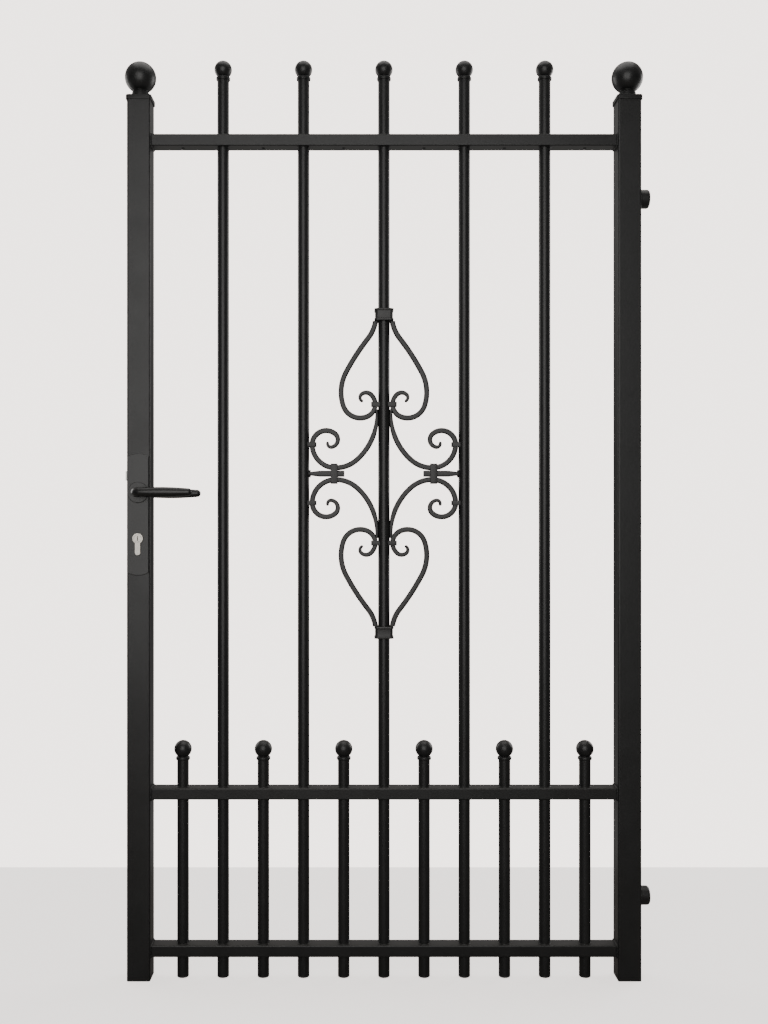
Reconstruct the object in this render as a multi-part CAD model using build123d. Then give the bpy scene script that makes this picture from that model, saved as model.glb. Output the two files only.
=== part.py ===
from build123d import *
import os
from math import cos, radians, sin, sqrt

# Single garden gate leaf in black powder-coated steel, millimetres, +Z up.
# X runs from the lock stile (-X) to the hinge stile (+X), the front faces -Y.
# Everything is drawn from the middle of the leaf, with z = 0 at the feet, and moved to the
# row's own origin when it is written: the mouth of the lower hinge socket.

# ---- stiles -------------------------------------------------------------------------
leaf_width = 876.0
stile_side = 40.0
stile_wall = 2.0
stile_corner_radius = 3.0
stile_top = 1508.0
stile_plug_flange = 3.0
stile_plug_depth = 20.0
tube_plug_clearance = 0.3

# ---- rails --------------------------------------------------------------------------
rail_height = 20.0
rail_depth = 30.0
rail_wall = 2.0
rail_corner_radius = 2.0
bottom_rail_z = 49.5
middle_rail_z = 318.0
top_rail_below_top = 74.0
weld_gap = 0.1
vent_diameter = 6.0

# ---- round bars ---------------------------------------------------------------------
bar_diameter = 20.0
bar_wall = 1.5
bar_count = 11
end_bar_space = 53.0
bar_foot_z = 5.0
tall_bar_above_stile = 32.0
short_bar_above_rail = 56.0
bar_hole_clearance = 0.25
bar_plug_flange = 3.0
bar_plug_depth = 12.0

# ---- finials on the bars ------------------------------------------------------------
finial_ring_overhang = 2.0
finial_ring_height = 5.5
finial_neck_diameter = 17.0
finial_ball_diameter = 30.0
finial_ball_height = 18.5
spigot_clearance = 0.15

# ---- stile caps and balls -----------------------------------------------------------
cap_wall = 1.5
cap_fit = 0.3
cap_seat = 0.2
cap_skirt = 8.0
cap_neck_diameter = 29.0
cap_neck_height = 9.5
cap_seat_diameter = 24.6
cap_seat_height = 1.7
cap_vent_diameter = 12.0
stile_ball_diameter = 53.4
stile_ball_wall = 2.0
ball_seat_gap = 0.1

# ---- hinge sockets (adjustable eye bolts screw into them) ---------------------------
hinge_socket_diameter = 32.0
hinge_socket_length = 17.0
hinge_socket_rounding = 4.5
hinge_spigot_diameter = 24.0
hinge_spigot_depth = 14.0
hinge_spigot_clearance = 0.2
hinge_thread_bore = 13.8
lower_hinge_z = 141.0
upper_hinge_below_top = 172.0

# ---- scroll ornament ----------------------------------------------------------------
ornament_z = 864.7
scroll_bar_width = 9.2
scroll_bar_depth = 10.0
scroll_bar_bevel = 0.8
scroll_fit = 0.3
curl_width = 8.2
curl_end_width = 6.6
scroll_tip_width = 5.0
collar_width = 33.0
collar_height = 20.5
collar_corner_bevel = 4.0
collar_rim_height = 3.0
collar_waist_depth = 1.2
stub_height = 10.4
stub_tip_height = 6.5
stub_taper = 15.0
stub_past_clamp = 11.9
stub_disc_diameter = 13.0
stub_disc_thickness = 2.0
side_scroll_start_width = 3.0
side_clamp_past_level = 2.4
side_clamp_width = 11.8
side_clamp_wall = 1.6
side_clamp_play = 1.1
tie_height = 8.0
tie_wall = 1.8
tie_play = 0.8
tie_clear_of_side_scroll = 5.8

# ---- lock ---------------------------------------------------------------------------
follower_z = 832.0
lever_to_key = 78.0
forend_width = 20.0
forend_thickness = 3.0
forend_fit = 0.15
case_height = 166.0
case_width = 16.0
case_wall = 1.5
case_back_clearance = 2.8
case_centre_above_key = 41.0
forend_overhang = 18.0
tab_width = 18.0
tab_thickness = 5.0
tab_reach = 12.0
tab_fit = 0.3
bolt_width = 12.4
bolt_fit = 0.3
latch_height = 16.0
latch_above_follower = 29.0
latch_projection = 4.5
latch_head_length = 18.5
latch_tail_height = 4.5
latch_tail_width = 8.0
latch_lug_width = 4.0
dead_bolt_height = 20.0
dead_bolt_above_key = 39.0
dead_bolt_play = 1.5
dead_bolt_tongue = 8.0
dead_bolt_tongue_width = 9.0
running_fit = 0.05
spindle_side = 8.0
spindle_fit = 0.1
spindle_length = 88.0
follower_diameter = 16.0
follower_arm_radius = 10.0
follower_arm_tip = 2.5
follower_arm_width = 8.0
follower_play = 0.3
spring_wire = 0.9
spring_diameter = 7.4
spring_turns = 6
spring_gap = 0.1

# ---- profile cylinder ---------------------------------------------------------------
cylinder_length = 54.0
cylinder_round = 17.4
cylinder_stem = 8.8
cylinder_height = 37.0
plug_diameter = 13.0
plug_proud = 0.2
keyway_width = 1.5
keyway_height = 8.5
cam_nose_width = 7.5
cam_ring_diameter = 15.5
cam_width = 9.6
cam_gap = 0.3
cam_rest_angle = -120.0
cylinder_screw_diameter = 5.0
cylinder_screw_below_key = 21.5
screw_fit = 0.1

# ---- escutcheons, rosettes and levers -----------------------------------------------
plate_inset = 2.0
plate_height = 207.0
plate_thickness = 3.0
plate_arch = 5.0
plate_above_follower = 66.0
plate_bevel = 0.8
plate_gap = 0.1
plate_screw_inset = 12.0
plate_peg_diameter = 8.0
plate_screw_diameter = 5.0
screw_head_diameter = 9.4
rosette_diameter = 35.5
rosette_thickness = 3.3
rosette_groove_diameter = 25.0
rosette_groove_width = 1.6
rosette_groove_depth = 0.8
neck_diameter = 16.0
neck_inset = 2.0
lever_standoff = 33.0
grip_end_radius = 7.0
grip_mid_radius = 8.6
grip_tip_radius = 6.5
grip_length = 96.0
grip_tip_round = 6.5
grub_diameter = 5.0
grub_length = 3.4

# ---- worked out from the values above -----------------------------------------------
stile_x = (leaf_width - stile_side) / 2
half_stile = stile_side / 2
stile_inner = stile_side - 2 * stile_wall
rail_length = leaf_width - 2 * stile_side - 2 * weld_gap
top_rail_z = stile_top - top_rail_below_top
upper_hinge_z = stile_top - upper_hinge_below_top
tall_bar_top = stile_top + tall_bar_above_stile
short_bar_top = middle_rail_z + short_bar_above_rail
bar_pitch = (leaf_width - 2 * stile_side - 2 * end_bar_space) / (bar_count - 1)
bar_radius = bar_diameter / 2
bar_bore = bar_diameter - 2 * bar_wall
finial_ring_diameter = bar_diameter + 2 * finial_ring_overhang
lock_x = -stile_x
key_z = follower_z - lever_to_key
forend_face = -leaf_width / 2
forend_back = forend_face + forend_thickness
case_back = lock_x + half_stile - stile_wall - case_back_clearance
cam_reach = case_back - case_wall - cam_gap - lock_x
case_z = key_z + case_centre_above_key
case_bottom = case_z - case_height / 2
case_top = case_z + case_height / 2
forend_height = case_height + 2 * forend_overhang
latch_z = follower_z + latch_above_follower
dead_bolt_z = key_z + dead_bolt_above_key
plate_width = stile_side - 2 * plate_inset
plate_face = half_stile + plate_gap + plate_thickness
plate_z = follower_z + plate_above_follower - plate_height / 2
rosette_face = plate_face + plate_gap + rosette_thickness
grip_y = half_stile + lever_standoff
hinge_mouth_x = leaf_width / 2 + hinge_socket_length
row_origin = Pos(-hinge_mouth_x, 0, -lower_hinge_z)

LOW = (Align.CENTER, Align.CENTER, Align.MIN)


def save(name, *pieces):
    """Write one node: every solid of the pieces given, moved to the row's origin."""
    solids = [row_origin * solid for piece in pieces for solid in piece.solids()]
    whole = solids[0] if len(solids) == 1 else Compound(solids)
    export_step(whole, f"parts/{name}.step")


def block(x0, x1, y0, y1, z0, z1):
    centre = Pos((x0 + x1) / 2, (y0 + y1) / 2, (z0 + z1) / 2)
    return centre * Box(x1 - x0, y1 - y0, z1 - z0)


def rod_x(diameter, x0, x1, y, z):
    """Round rod or hole along X."""
    return Pos(x0, y, z) * Rot(0, 90, 0) * Cylinder(diameter / 2, x1 - x0, align=LOW)


def rod_y(diameter, y0, y1, x, z):
    """Round rod or hole along Y."""
    return Pos(x, y0, z) * Rot(-90, 0, 0) * Cylinder(diameter / 2, y1 - y0, align=LOW)


def rod_z(diameter, z0, z1, x, y=0):
    """Round rod or hole along Z."""
    return Pos(x, y, z0) * Cylinder(diameter / 2, z1 - z0, align=LOW)


def box_section(width, depth, wall, radius):
    inner_radius = max(radius - wall, 0.5)
    inner = RectangleRounded(width - 2 * wall, depth - 2 * wall, inner_radius)
    return RectangleRounded(width, depth, radius) - inner


def mirror_y(piece):
    return mirror(piece, about=Plane.XZ)


def mirror_x(piece):
    return mirror(piece, about=Plane.YZ)


# ---- frame --------------------------------------------------------------------------
def stile(x):
    section = box_section(stile_side, stile_side, stile_wall, stile_corner_radius)
    return Pos(x, 0, stile_plug_flange) * extrude(section, stile_top - stile_plug_flange)


def stile_plug(x):
    """Square plastic plug: a flange under the tube's end and a hollow spigot inside it."""
    side = stile_inner - 2 * tube_plug_clearance
    flange = RectangleRounded(stile_side, stile_side, stile_corner_radius)
    spigot = box_section(side, side, stile_wall, stile_corner_radius - stile_wall)
    top = stile_plug_flange + stile_plug_depth
    return Pos(x, 0, 0) * (extrude(flange, stile_plug_flange) + extrude(spigot, top))


def rail(z, bars, vents=()):
    """Rectangular tube between the stiles, drilled right through for its round bars."""
    section = box_section(rail_height, rail_depth, rail_wall, rail_corner_radius)
    tube = Pos(-rail_length / 2, 0, z) * Rot(0, 90, 0) * extrude(section, rail_length)
    for x in bars:
        tube -= rod_z(bar_diameter + 2 * bar_hole_clearance, z - rail_height, z + rail_height, x)
    for x in vents:
        tube -= rod_z(vent_diameter, z - rail_height, z, x)
    return tube


def hinge_socket(z):
    """Turned boss with a spigot through the stile's outer wall and a tapped bore."""
    face = leaf_width / 2
    boss = rod_x(hinge_socket_diameter, face, hinge_mouth_x, 0, z)
    boss = fillet(boss.edges().group_by(Axis.X)[-1], hinge_socket_rounding)
    boss += rod_x(hinge_spigot_diameter, face - stile_wall - hinge_spigot_depth, face, 0, z)
    return boss - rod_x(hinge_thread_bore, face - stile_side, hinge_mouth_x, 0, z)


def hinge_stile():
    tube = stile(stile_x)
    for z in (lower_hinge_z, upper_hinge_z):
        hole = hinge_spigot_diameter + 2 * hinge_spigot_clearance
        tube -= rod_x(hole, stile_x, leaf_width / 2 + 1, 0, z)
    return tube


# ---- bars and their ends ------------------------------------------------------------
def bar(x, top):
    height = top - bar_foot_z
    tube = Cylinder(bar_radius, height, align=LOW) - Cylinder(bar_bore / 2, height, align=LOW)
    return Pos(x, 0, bar_foot_z) * tube


def finial(x, top):
    """Ball on a turned ring, with a spigot that drops into the bar's bore."""
    ring = Pos(0, 0, 0) * Cylinder(finial_ring_diameter / 2, finial_ring_height, align=LOW)
    ring = fillet(ring.edges().filter_by(GeomType.CIRCLE), 1.5)
    neck = Cylinder(finial_neck_diameter / 2, finial_ball_height, align=LOW)
    ball = Pos(0, 0, finial_ball_height) * Sphere(finial_ball_diameter / 2)
    spigot = rod_z(bar_bore - 2 * spigot_clearance, -bar_plug_depth, 1, 0)
    return Pos(x, 0, top) * (ring + neck + ball + spigot)


def bar_plug(x):
    """Plastic plug in the bar's open foot."""
    flange = rod_z(bar_diameter, bar_foot_z - bar_plug_flange, bar_foot_z, x)
    spigot_diameter = bar_bore - 2 * spigot_clearance
    return flange + rod_z(spigot_diameter, bar_foot_z - 1, bar_foot_z + bar_plug_depth, x)


# ---- stile caps ---------------------------------------------------------------------
def stile_cap(x):
    """Pressed square cover over the tube's end, with the turned neck welded on it."""
    inner = stile_side + 2 * cap_fit
    outer = inner + 2 * cap_wall
    ceiling = stile_top + cap_seat
    top = ceiling + cap_wall
    cover = extrude(RectangleRounded(outer, outer, stile_corner_radius + cap_wall), cap_skirt)
    cover = fillet(cover.edges().group_by(Axis.Z)[-1], 1.0)
    room = extrude(RectangleRounded(inner, inner, stile_corner_radius), cap_skirt - cap_wall)
    neck = rod_z(cap_neck_diameter, 0, cap_neck_height, 0)
    neck = fillet(neck.edges().group_by(Axis.Z)[-1], 1.2)
    neck += rod_z(cap_seat_diameter, 0, cap_neck_height + cap_seat_height, 0)
    cap = Pos(x, 0, top - cap_skirt) * (cover - room) + Pos(x, 0, top) * neck
    return cap - rod_z(cap_vent_diameter, ceiling - 1, top + stile_side, x)


def stile_ball(x):
    """Hollow pressed ball with a flat seat, open at the seat."""
    radius = stile_ball_diameter / 2
    seat_drop = sqrt(radius ** 2 - (cap_seat_diameter / 2) ** 2)
    cap_top = stile_top + cap_seat + cap_wall + cap_neck_height + cap_seat_height
    centre = cap_top + ball_seat_gap + seat_drop
    ball = Sphere(radius) - Sphere(radius - stile_ball_wall)
    ball -= block(-radius, radius, -radius, radius, -2 * radius, -seat_drop)
    ball -= rod_z(cap_vent_diameter, -2 * radius, 0, 0)
    return Pos(x, 0, centre) * ball


# ---- scroll ornament ----------------------------------------------------------------
def arc_step(point, heading, radius, turn):
    """End point and heading after an arc; the turn is in degrees, positive to the left."""
    side = 1 if turn > 0 else -1
    x, z = point
    centre_x = x - side * radius * sin(radians(heading))
    centre_z = z + side * radius * cos(radians(heading))
    heading += turn
    end_x = centre_x + side * radius * sin(radians(heading))
    end_z = centre_z - side * radius * cos(radians(heading))
    return (end_x, end_z), heading


def beside(point, heading, offset):
    """The point to the left of the path by the offset."""
    return (point[0] - offset * sin(radians(heading)), point[1] + offset * cos(radians(heading)))


def scroll(start, heading, arcs):
    """Forged flat scroll on a chain of tangent arcs (radius, turn, width at its end).

    Both edges of the bar are arcs beside the centre line, the tip is round, and the first
    end is cut square at the first arc's start width.
    """
    left, right = [], []
    point, width = start, arcs[0][3]
    for radius, turn, end_width, *_ in arcs:
        middle, middle_heading = arc_step(point, heading, radius, turn / 2)
        end, end_heading = arc_step(point, heading, radius, turn)
        stations = (
            (point, heading, width),
            (middle, middle_heading, (width + end_width) / 2),
            (end, end_heading, end_width),
        )
        left.append(ThreePointArc(*[beside(p, h, w / 2) for p, h, w in stations]))
        right.append(ThreePointArc(*[beside(p, h, -w / 2) for p, h, w in stations]))
        point, heading, width = end, end_heading, end_width
    nose = (point[0] + width / 2 * cos(radians(heading)), point[1] + width / 2 * sin(radians(heading)))
    tip = ThreePointArc(left[-1] @ 1, nose, right[-1] @ 1)
    butt = Line(left[0] @ 0, right[0] @ 0)
    outline = make_face(Curve() + left + right + [tip, butt])
    bar_body = extrude(Plane.XZ * outline, scroll_bar_depth / 2, both=True)
    return chamfer(bar_body.faces().filter_by(Axis.Y).edges(), scroll_bar_bevel)


def placed_four(piece):
    """The piece and its mirror images: upper left, upper right, lower left, lower right."""
    lower = mirror(piece, about=Plane.XY)
    quarters = (piece, mirror_x(piece), lower, mirror_x(lower))
    names = ("upper_left", "upper_right", "lower_left", "lower_right")
    return [(name, Pos(0, 0, ornament_z) * quarter) for name, quarter in zip(names, quarters)]


def reach_heading(point, heading, arcs, wanted):
    """Where the chain of arcs first runs at the wanted heading."""
    for radius, turn, *_ in arcs:
        if 0 <= (wanted - heading) / turn <= 1:
            return arc_step(point, heading, radius, wanted - heading)[0] if wanted != heading else point
        point, heading = arc_step(point, heading, radius, turn)
    raise ValueError("the chain never runs at that heading")


def scaled(arcs, factor):
    return [(radius * factor, turn, *widths) for radius, turn, *widths in arcs]


full = scroll_bar_width

# The side scroll fills the bay: it starts beside the centre bar, runs level on the stub and
# stands against the outer tall bar. Its three long arcs are scaled to that reach, and the
# curl at its end keeps its own radii.
side_heading = -88.0
side_sweep = [
    (0.923, -50, full, side_scroll_start_width),
    (0.500, -42, full),
    (0.360, -90, full),
]
side_curl = [
    (24.0, -130, full),
    (13.0, -130, curl_end_width),
    (6.0, -110, scroll_tip_width),
]
outer_bar_x = 2 * bar_pitch
outer_scroll_x = outer_bar_x - bar_radius - scroll_fit - full / 2
side_start_x = bar_radius + 2 * scroll_fit + side_scroll_start_width / 2
side_unit = -reach_heading((0, 0), side_heading, side_sweep, -270)[0]
side_arcs = scaled(side_sweep, (outer_scroll_x - side_start_x) / side_unit) + side_curl
side_level = reach_heading((0, 0), side_heading, side_arcs, -180)
side_seat_z = stub_height / 2 + scroll_fit + full / 2
side_start = (-side_start_x, side_seat_z - side_level[1])
outer_tie_offset = reach_heading(side_start, side_heading, side_arcs, -270)[1]
side_clamp_x = side_start_x - side_level[0] + side_clamp_past_level

# The heart scroll swings out below the collar and comes back to the centre bar just above
# the side scroll, where it is tied. The collar closes on its start.
heart_heading = -99.0
heart_arcs = [
    (62.55, -29, full, full),
    (397.9, 10, full),
    (73.9, 46, full),
    (30.8, 93, full),
    (22.9, 118, curl_width),
    (11.9, 87, curl_end_width),
    (7.0, 100, scroll_tip_width),
]
centre_tie_offset = side_start[1] + full + tie_clear_of_side_scroll
heart_step = reach_heading((0, 0), heart_heading, heart_arcs, 90)
heart_seat_x = bar_radius + scroll_fit + full / 2
heart_start = (-heart_seat_x - heart_step[0], centre_tie_offset - heart_step[1])
collar_offset = heart_start[1] + scroll_fit + collar_height / 2


def collar(z):
    """Square forged collar round the centre bar, with raised rims and bevelled corners."""
    outer = chamfer(Rectangle(collar_width, collar_width).vertices(), collar_corner_bevel)
    inner_side = collar_width - 2 * collar_waist_depth
    inner = chamfer(Rectangle(inner_side, inner_side).vertices(), collar_corner_bevel)
    rim = extrude(outer, collar_rim_height)
    body = Pos(0, 0, collar_rim_height / 2) * extrude(inner, collar_height - collar_rim_height)
    whole = rim + body + Pos(0, 0, collar_height - collar_rim_height) * rim
    bore = Cylinder(bar_radius + bar_hole_clearance, collar_height, align=LOW)
    return Pos(0, 0, z - collar_height / 2) * (whole - bore)


def stub(side):
    """Level bar from the outer tall bar to the clamp, drawn down to a point-like end."""
    x0 = 2 * bar_pitch - bar_radius - scroll_fit
    x1 = side_clamp_x - side_clamp_width / 2 - stub_past_clamp
    root = x0 - stub_disc_thickness
    taper_from = root - stub_taper
    half, tip = stub_height / 2, stub_tip_height / 2
    outline = Polyline((root, -tip), (root, tip), (taper_from, half), (x1, half), (x1, -half),
                       (taper_from, -half), close=True)
    bar_body = extrude(Plane.XZ * make_face(outline), scroll_bar_depth / 2, both=True)
    disc = rod_x(stub_disc_diameter, root, x0, 0, 0)
    whole = Pos(0, 0, ornament_z) * (bar_body + disc)
    return whole if side > 0 else mirror_x(whole)


def side_clamp(side):
    """Flat band closed round the stub and the two scrolls that lie on it."""
    half_z = side_seat_z + scroll_bar_width / 2 + side_clamp_play
    half_y = scroll_bar_depth / 2 + scroll_fit
    hole = block(-side_clamp_width, side_clamp_width, -half_y, half_y, -half_z, half_z)
    outer_y, outer_z = half_y + side_clamp_wall, half_z + side_clamp_wall
    band = Box(side_clamp_width, 2 * outer_y, 2 * outer_z)
    band = chamfer(band.edges().filter_by(Axis.X), 0.8)
    return Pos(side * side_clamp_x, 0, ornament_z) * (band - hole)


def tie(scroll_x, bar_x, dz):
    """C-shaped clip: round the scroll bar, with both legs welded to the round bar."""
    away = 1 if scroll_x > bar_x else -1
    half_y = scroll_bar_depth / 2 + scroll_fit
    far = scroll_x + away * (scroll_bar_width / 2 + tie_play)
    near = bar_x + away * bar_radius * 0.65
    outer_y = half_y + tie_wall
    limits = sorted((near, far + away * tie_wall))
    clip = block(*limits, -outer_y, outer_y, -tie_height / 2, tie_height / 2)
    clip -= block(*sorted((bar_x, far)), -half_y, half_y, -tie_height, tie_height)
    clip -= rod_z(bar_diameter + 2 * bar_hole_clearance, -tie_height, tie_height, bar_x)
    return Pos(0, 0, ornament_z + dz) * clip


# ---- lock ---------------------------------------------------------------------------
def key_profile(y0, y1, grow=0.0):
    """Euro profile shape along Y: the round barrel with its stem hanging below it."""
    radius = cylinder_round / 2 + grow
    stem = cylinder_stem / 2 + grow
    bottom = cylinder_round / 2 - cylinder_height - grow + stem
    shape = rod_y(2 * radius, y0, y1, 0, 0) + block(-stem, stem, y0, y1, bottom, 0)
    shape += rod_y(2 * stem, y0, y1, 0, bottom)
    return Pos(lock_x, 0, key_z) * shape


def plate_screw_heights():
    low = plate_z - plate_height / 2 + plate_screw_inset
    high = plate_z + plate_height / 2 - plate_screw_inset
    return low, high


def lock_stile():
    """Lock stile with its forend slot, and holes for spindle, cylinder and plate screws."""
    half_y = forend_width / 2 + forend_fit
    half_z = forend_height / 2 + forend_fit
    tube = stile(lock_x)
    tube -= block(forend_face - 1, lock_x - half_stile / 2, -half_y, half_y, case_z - half_z, case_z + half_z)
    tube -= rod_y(neck_diameter, -stile_side, stile_side, lock_x, follower_z)
    tube -= key_profile(-stile_side, stile_side, grow=1.0)
    for z in plate_screw_heights():
        tube -= rod_y(plate_peg_diameter + 2 * tab_fit, -stile_side, 0, lock_x, z)
        tube -= rod_y(plate_screw_diameter + 2 * tab_fit, 0, stile_side, lock_x, z)
    return tube


def lock_case():
    """Pressed case, open towards the forend and towards its cover."""
    half = case_width / 2
    case = block(forend_back, case_back, -half, half - case_wall, case_bottom, case_top)
    case -= block(forend_back - 1, case_back - case_wall, -half + case_wall, half,
                  case_bottom + case_wall, case_top - case_wall)
    case -= rod_y(follower_diameter + 2 * running_fit, -half - 1, 0, lock_x, follower_z)
    return case - key_profile(-half - 1, half, grow=bolt_fit)


def lock_case_cover():
    half = case_width / 2
    cover = block(forend_back, case_back, half - case_wall, half, case_bottom, case_top)
    cover -= rod_y(follower_diameter + 2 * running_fit, 0, half + 1, lock_x, follower_z)
    return cover - key_profile(0, half + 1, grow=bolt_fit)


def countersunk_screw(diameter, length):
    """Countersunk screw along +X, with its head's face at x = 0."""
    head = (screw_head_diameter - diameter) / 2
    outline = Polyline((0, 0), (0, screw_head_diameter / 2), (head, diameter / 2),
                       (length, diameter / 2), (length, 0), close=True)
    screw = revolve(make_face(outline), Axis.X)
    slot = block(-0.1, 1.2, -0.6, 0.6, -screw_head_diameter / 3, screw_head_diameter / 3)
    return screw - slot


def countersink(diameter, length):
    """Clearance hole for the countersunk screw."""
    wide = screw_head_diameter / 2 + screw_fit
    narrow = diameter / 2 + screw_fit
    outline = Polyline((-1, 0), (-1, wide), (0, wide), (wide - narrow, narrow),
                       (length, narrow), (length, 0), close=True)
    return revolve(make_face(outline), Axis.X)


def forend_screw_heights():
    inset = forend_overhang / 2
    return case_z - forend_height / 2 + inset, case_z + forend_height / 2 - inset


def forend():
    half_y, half_z = forend_width / 2, forend_height / 2
    plate = block(forend_face, forend_back, -half_y, half_y, case_z - half_z, case_z + half_z)
    for z, height in ((latch_z, latch_height), (dead_bolt_z, dead_bolt_height)):
        window_y, window_z = bolt_width / 2 + bolt_fit, height / 2 + bolt_fit
        plate -= block(forend_face - 1, forend_back + 1, -window_y, window_y, z - window_z, z + window_z)
    for z in (*forend_screw_heights(), key_z - cylinder_screw_below_key):
        plate -= Pos(forend_face, 0, z) * countersink(cylinder_screw_diameter, stile_side)
    return plate


def forend_tab(side):
    """Tapped block welded inside the stile's wall, stepped to take the forend's end."""
    end = case_z + side * (forend_height / 2 + forend_fit)
    wall_face = forend_face + stile_wall + weld_gap
    back = wall_face + tab_thickness
    low, high = end - tab_reach, end + tab_reach
    block_body = block(wall_face, back, -tab_width / 2, tab_width / 2, low, high)
    step_low, step_high = sorted((end + side * tab_fit, end - side * 2 * tab_reach))
    block_body -= block(wall_face - 1, forend_back + weld_gap, -tab_width, tab_width, step_low, step_high)
    z = forend_screw_heights()[0 if side < 0 else 1]
    return block_body - Pos(forend_face, 0, z) * countersink(cylinder_screw_diameter, stile_side / 2)


def forend_screws():
    screws = [Pos(forend_face, 0, z) * countersunk_screw(cylinder_screw_diameter, 9)
              for z in forend_screw_heights()]
    return screws


def follower():
    """Nut turned by the spindle: its short upper arm pushes the latch's lug back."""
    half = follower_arm_width / 2
    hub = rod_y(follower_diameter, -case_width / 2, case_width / 2, 0, 0)
    arm = block(-follower_arm_tip, follower_arm_tip, -half, half, 0, follower_arm_radius)
    arm += rod_y(2 * follower_arm_tip, -half, half, 0, follower_arm_radius)
    hole_side = spindle_side + 2 * spindle_fit
    nut = hub + arm - Box(hole_side, 2 * case_width, hole_side)
    return Pos(lock_x, 0, follower_z) * nut


def latch_lug_x():
    return lock_x + follower_arm_tip + follower_play


def latch_bolt():
    """Sprung latch: bevelled head, level tail and the lug that the follower pushes."""
    half = bolt_width / 2
    nose = forend_face - latch_projection
    back = nose + latch_head_length
    low = latch_z - latch_height / 2
    outline = Polyline((back, -half), (forend_face, -half), (nose, -half), (nose, half * 0.2),
                       (forend_face, half), (back, half), close=True)
    head = Pos(0, 0, low) * extrude(make_face(outline), latch_height)
    tail_half = latch_tail_width / 2
    lug_x = latch_lug_x()
    lug_end = lug_x + latch_lug_width
    lug_bottom = follower_z + follower_diameter / 2 + follower_play
    tail = block(back - 1, lug_end, -tail_half, tail_half, low, low + latch_tail_height)
    lug = block(lug_x, lug_end, -tail_half, tail_half, lug_bottom, low + latch_tail_height)
    return head + tail + lug


def latch_spring():
    """Compression spring between the latch head and the back of the case."""
    x0 = forend_face - latch_projection + latch_head_length + spring_gap
    length = case_back - case_wall - spring_gap - x0
    path_length = length - spring_wire
    radius = (spring_diameter - spring_wire) / 2
    path = Helix(pitch=path_length / spring_turns, height=path_length, radius=radius)
    wire = Plane(path @ 0, z_dir=path % 0) * Circle(spring_wire / 2)
    coil = sweep(wire, path=path, is_frenet=True)
    z = latch_z + latch_height / 2 - spring_diameter / 2 - bolt_fit
    return Pos(x0 + spring_wire / 2, 0, z) * Rot(0, 90, 0) * coil


def dead_bolt():
    """Dead bolt with a tongue down to the cylinder cam's path."""
    half = bolt_width / 2
    back = case_back - case_wall - dead_bolt_play
    low = dead_bolt_z - dead_bolt_height / 2
    bolt = block(forend_face, back, -half, half, low, dead_bolt_z + dead_bolt_height / 2)
    bolt = chamfer(bolt.faces().sort_by(Axis.X)[0].edges(), 0.6)
    tongue_low = key_z + cam_reach + 2 * cam_gap
    tongue_half = dead_bolt_tongue_width / 2
    tongue = block(back - dead_bolt_tongue, back, -tongue_half, tongue_half, tongue_low, low + 1)
    return bolt + tongue


def cylinder_housing():
    """Profile cylinder's body, cut away in the middle for the cam."""
    half = cylinder_length / 2
    gap = cam_width / 2 + cam_gap
    body = key_profile(-half, half)
    body -= rod_y(plug_diameter + 2 * running_fit, -half - 1, half + 1, lock_x, key_z)
    cam_floor = key_z - cam_reach - cam_gap
    body -= block(lock_x - cylinder_round, lock_x + cylinder_round, -gap, gap, cam_floor,
                  key_z + cylinder_round)
    z = key_z - cylinder_screw_below_key
    return body - rod_x(cylinder_screw_diameter + 2 * screw_fit, forend_face, lock_x + cylinder_round, 0, z)


def cylinder_plug():
    """Front plug with its keyway, in the cylinder's bore."""
    face = -cylinder_length / 2 - plug_proud
    inner = -cam_width / 2 - 2 * cam_gap
    plug = rod_y(plug_diameter, face, inner, 0, 0)
    plug = chamfer(plug.edges().group_by(Axis.Y)[0], 0.4)
    keyway_half = keyway_height / 2
    plug -= block(-keyway_width / 2, keyway_width / 2, face - 1, inner - 3, -keyway_half, keyway_half)
    return Pos(lock_x, 0, key_z) * plug


def cylinder_cam():
    half = cam_width / 2
    ring = rod_y(cam_ring_diameter, -half, half, 0, 0)
    nose_half = cam_nose_width / 2
    nose = rod_y(2 * cam_reach, -half, half, 0, 0)
    nose &= block(0, 2 * cam_reach, -half, half, -nose_half, nose_half)
    return Pos(lock_x, 0, key_z) * (ring + Rot(0, -cam_rest_angle, 0) * nose)


def cylinder_screw():
    z = key_z - cylinder_screw_below_key
    length = lock_x + cylinder_stem / 2 + 3 - forend_face
    return Pos(forend_face, 0, z) * countersunk_screw(cylinder_screw_diameter, length)


# ---- escutcheons, rosettes and levers -----------------------------------------------
def escutcheon_blank():
    """Long plate on the front face, with arched ends and bevelled edges, not yet drilled."""
    half, top = plate_width / 2, plate_height / 2
    shoulder = top - plate_arch
    outline = Curve() + [
        Line((-half, -shoulder), (-half, shoulder)),
        ThreePointArc((-half, shoulder), (0, top), (half, shoulder)),
        Line((half, shoulder), (half, -shoulder)),
        ThreePointArc((half, -shoulder), (0, -top), (-half, -shoulder)),
    ]
    plate = extrude(Plane.XZ * make_face(outline), plate_thickness)
    plate = chamfer(plate.faces().sort_by(Axis.Y)[0].edges(), plate_bevel)
    plate = Pos(lock_x, -half_stile - plate_gap, plate_z) * plate
    plate -= rod_y(neck_diameter + 2 * bolt_fit, -stile_side, 0, lock_x, follower_z)
    return plate - key_profile(-stile_side, 0, grow=bolt_fit)


def front_escutcheon():
    """Front plate with two tapped pegs that reach through the stile."""
    plate = escutcheon_blank()
    peg_end = half_stile - stile_wall - weld_gap
    for z in plate_screw_heights():
        plate += rod_y(plate_peg_diameter, -half_stile - 2 * plate_gap, peg_end, lock_x, z)
        plate -= rod_y(plate_screw_diameter + 2 * screw_fit, -half_stile + 2, peg_end + 1, lock_x, z)
    return plate


def plate_screw_place(z):
    return Pos(lock_x, plate_face, z) * Rot(0, 0, -90)


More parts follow.
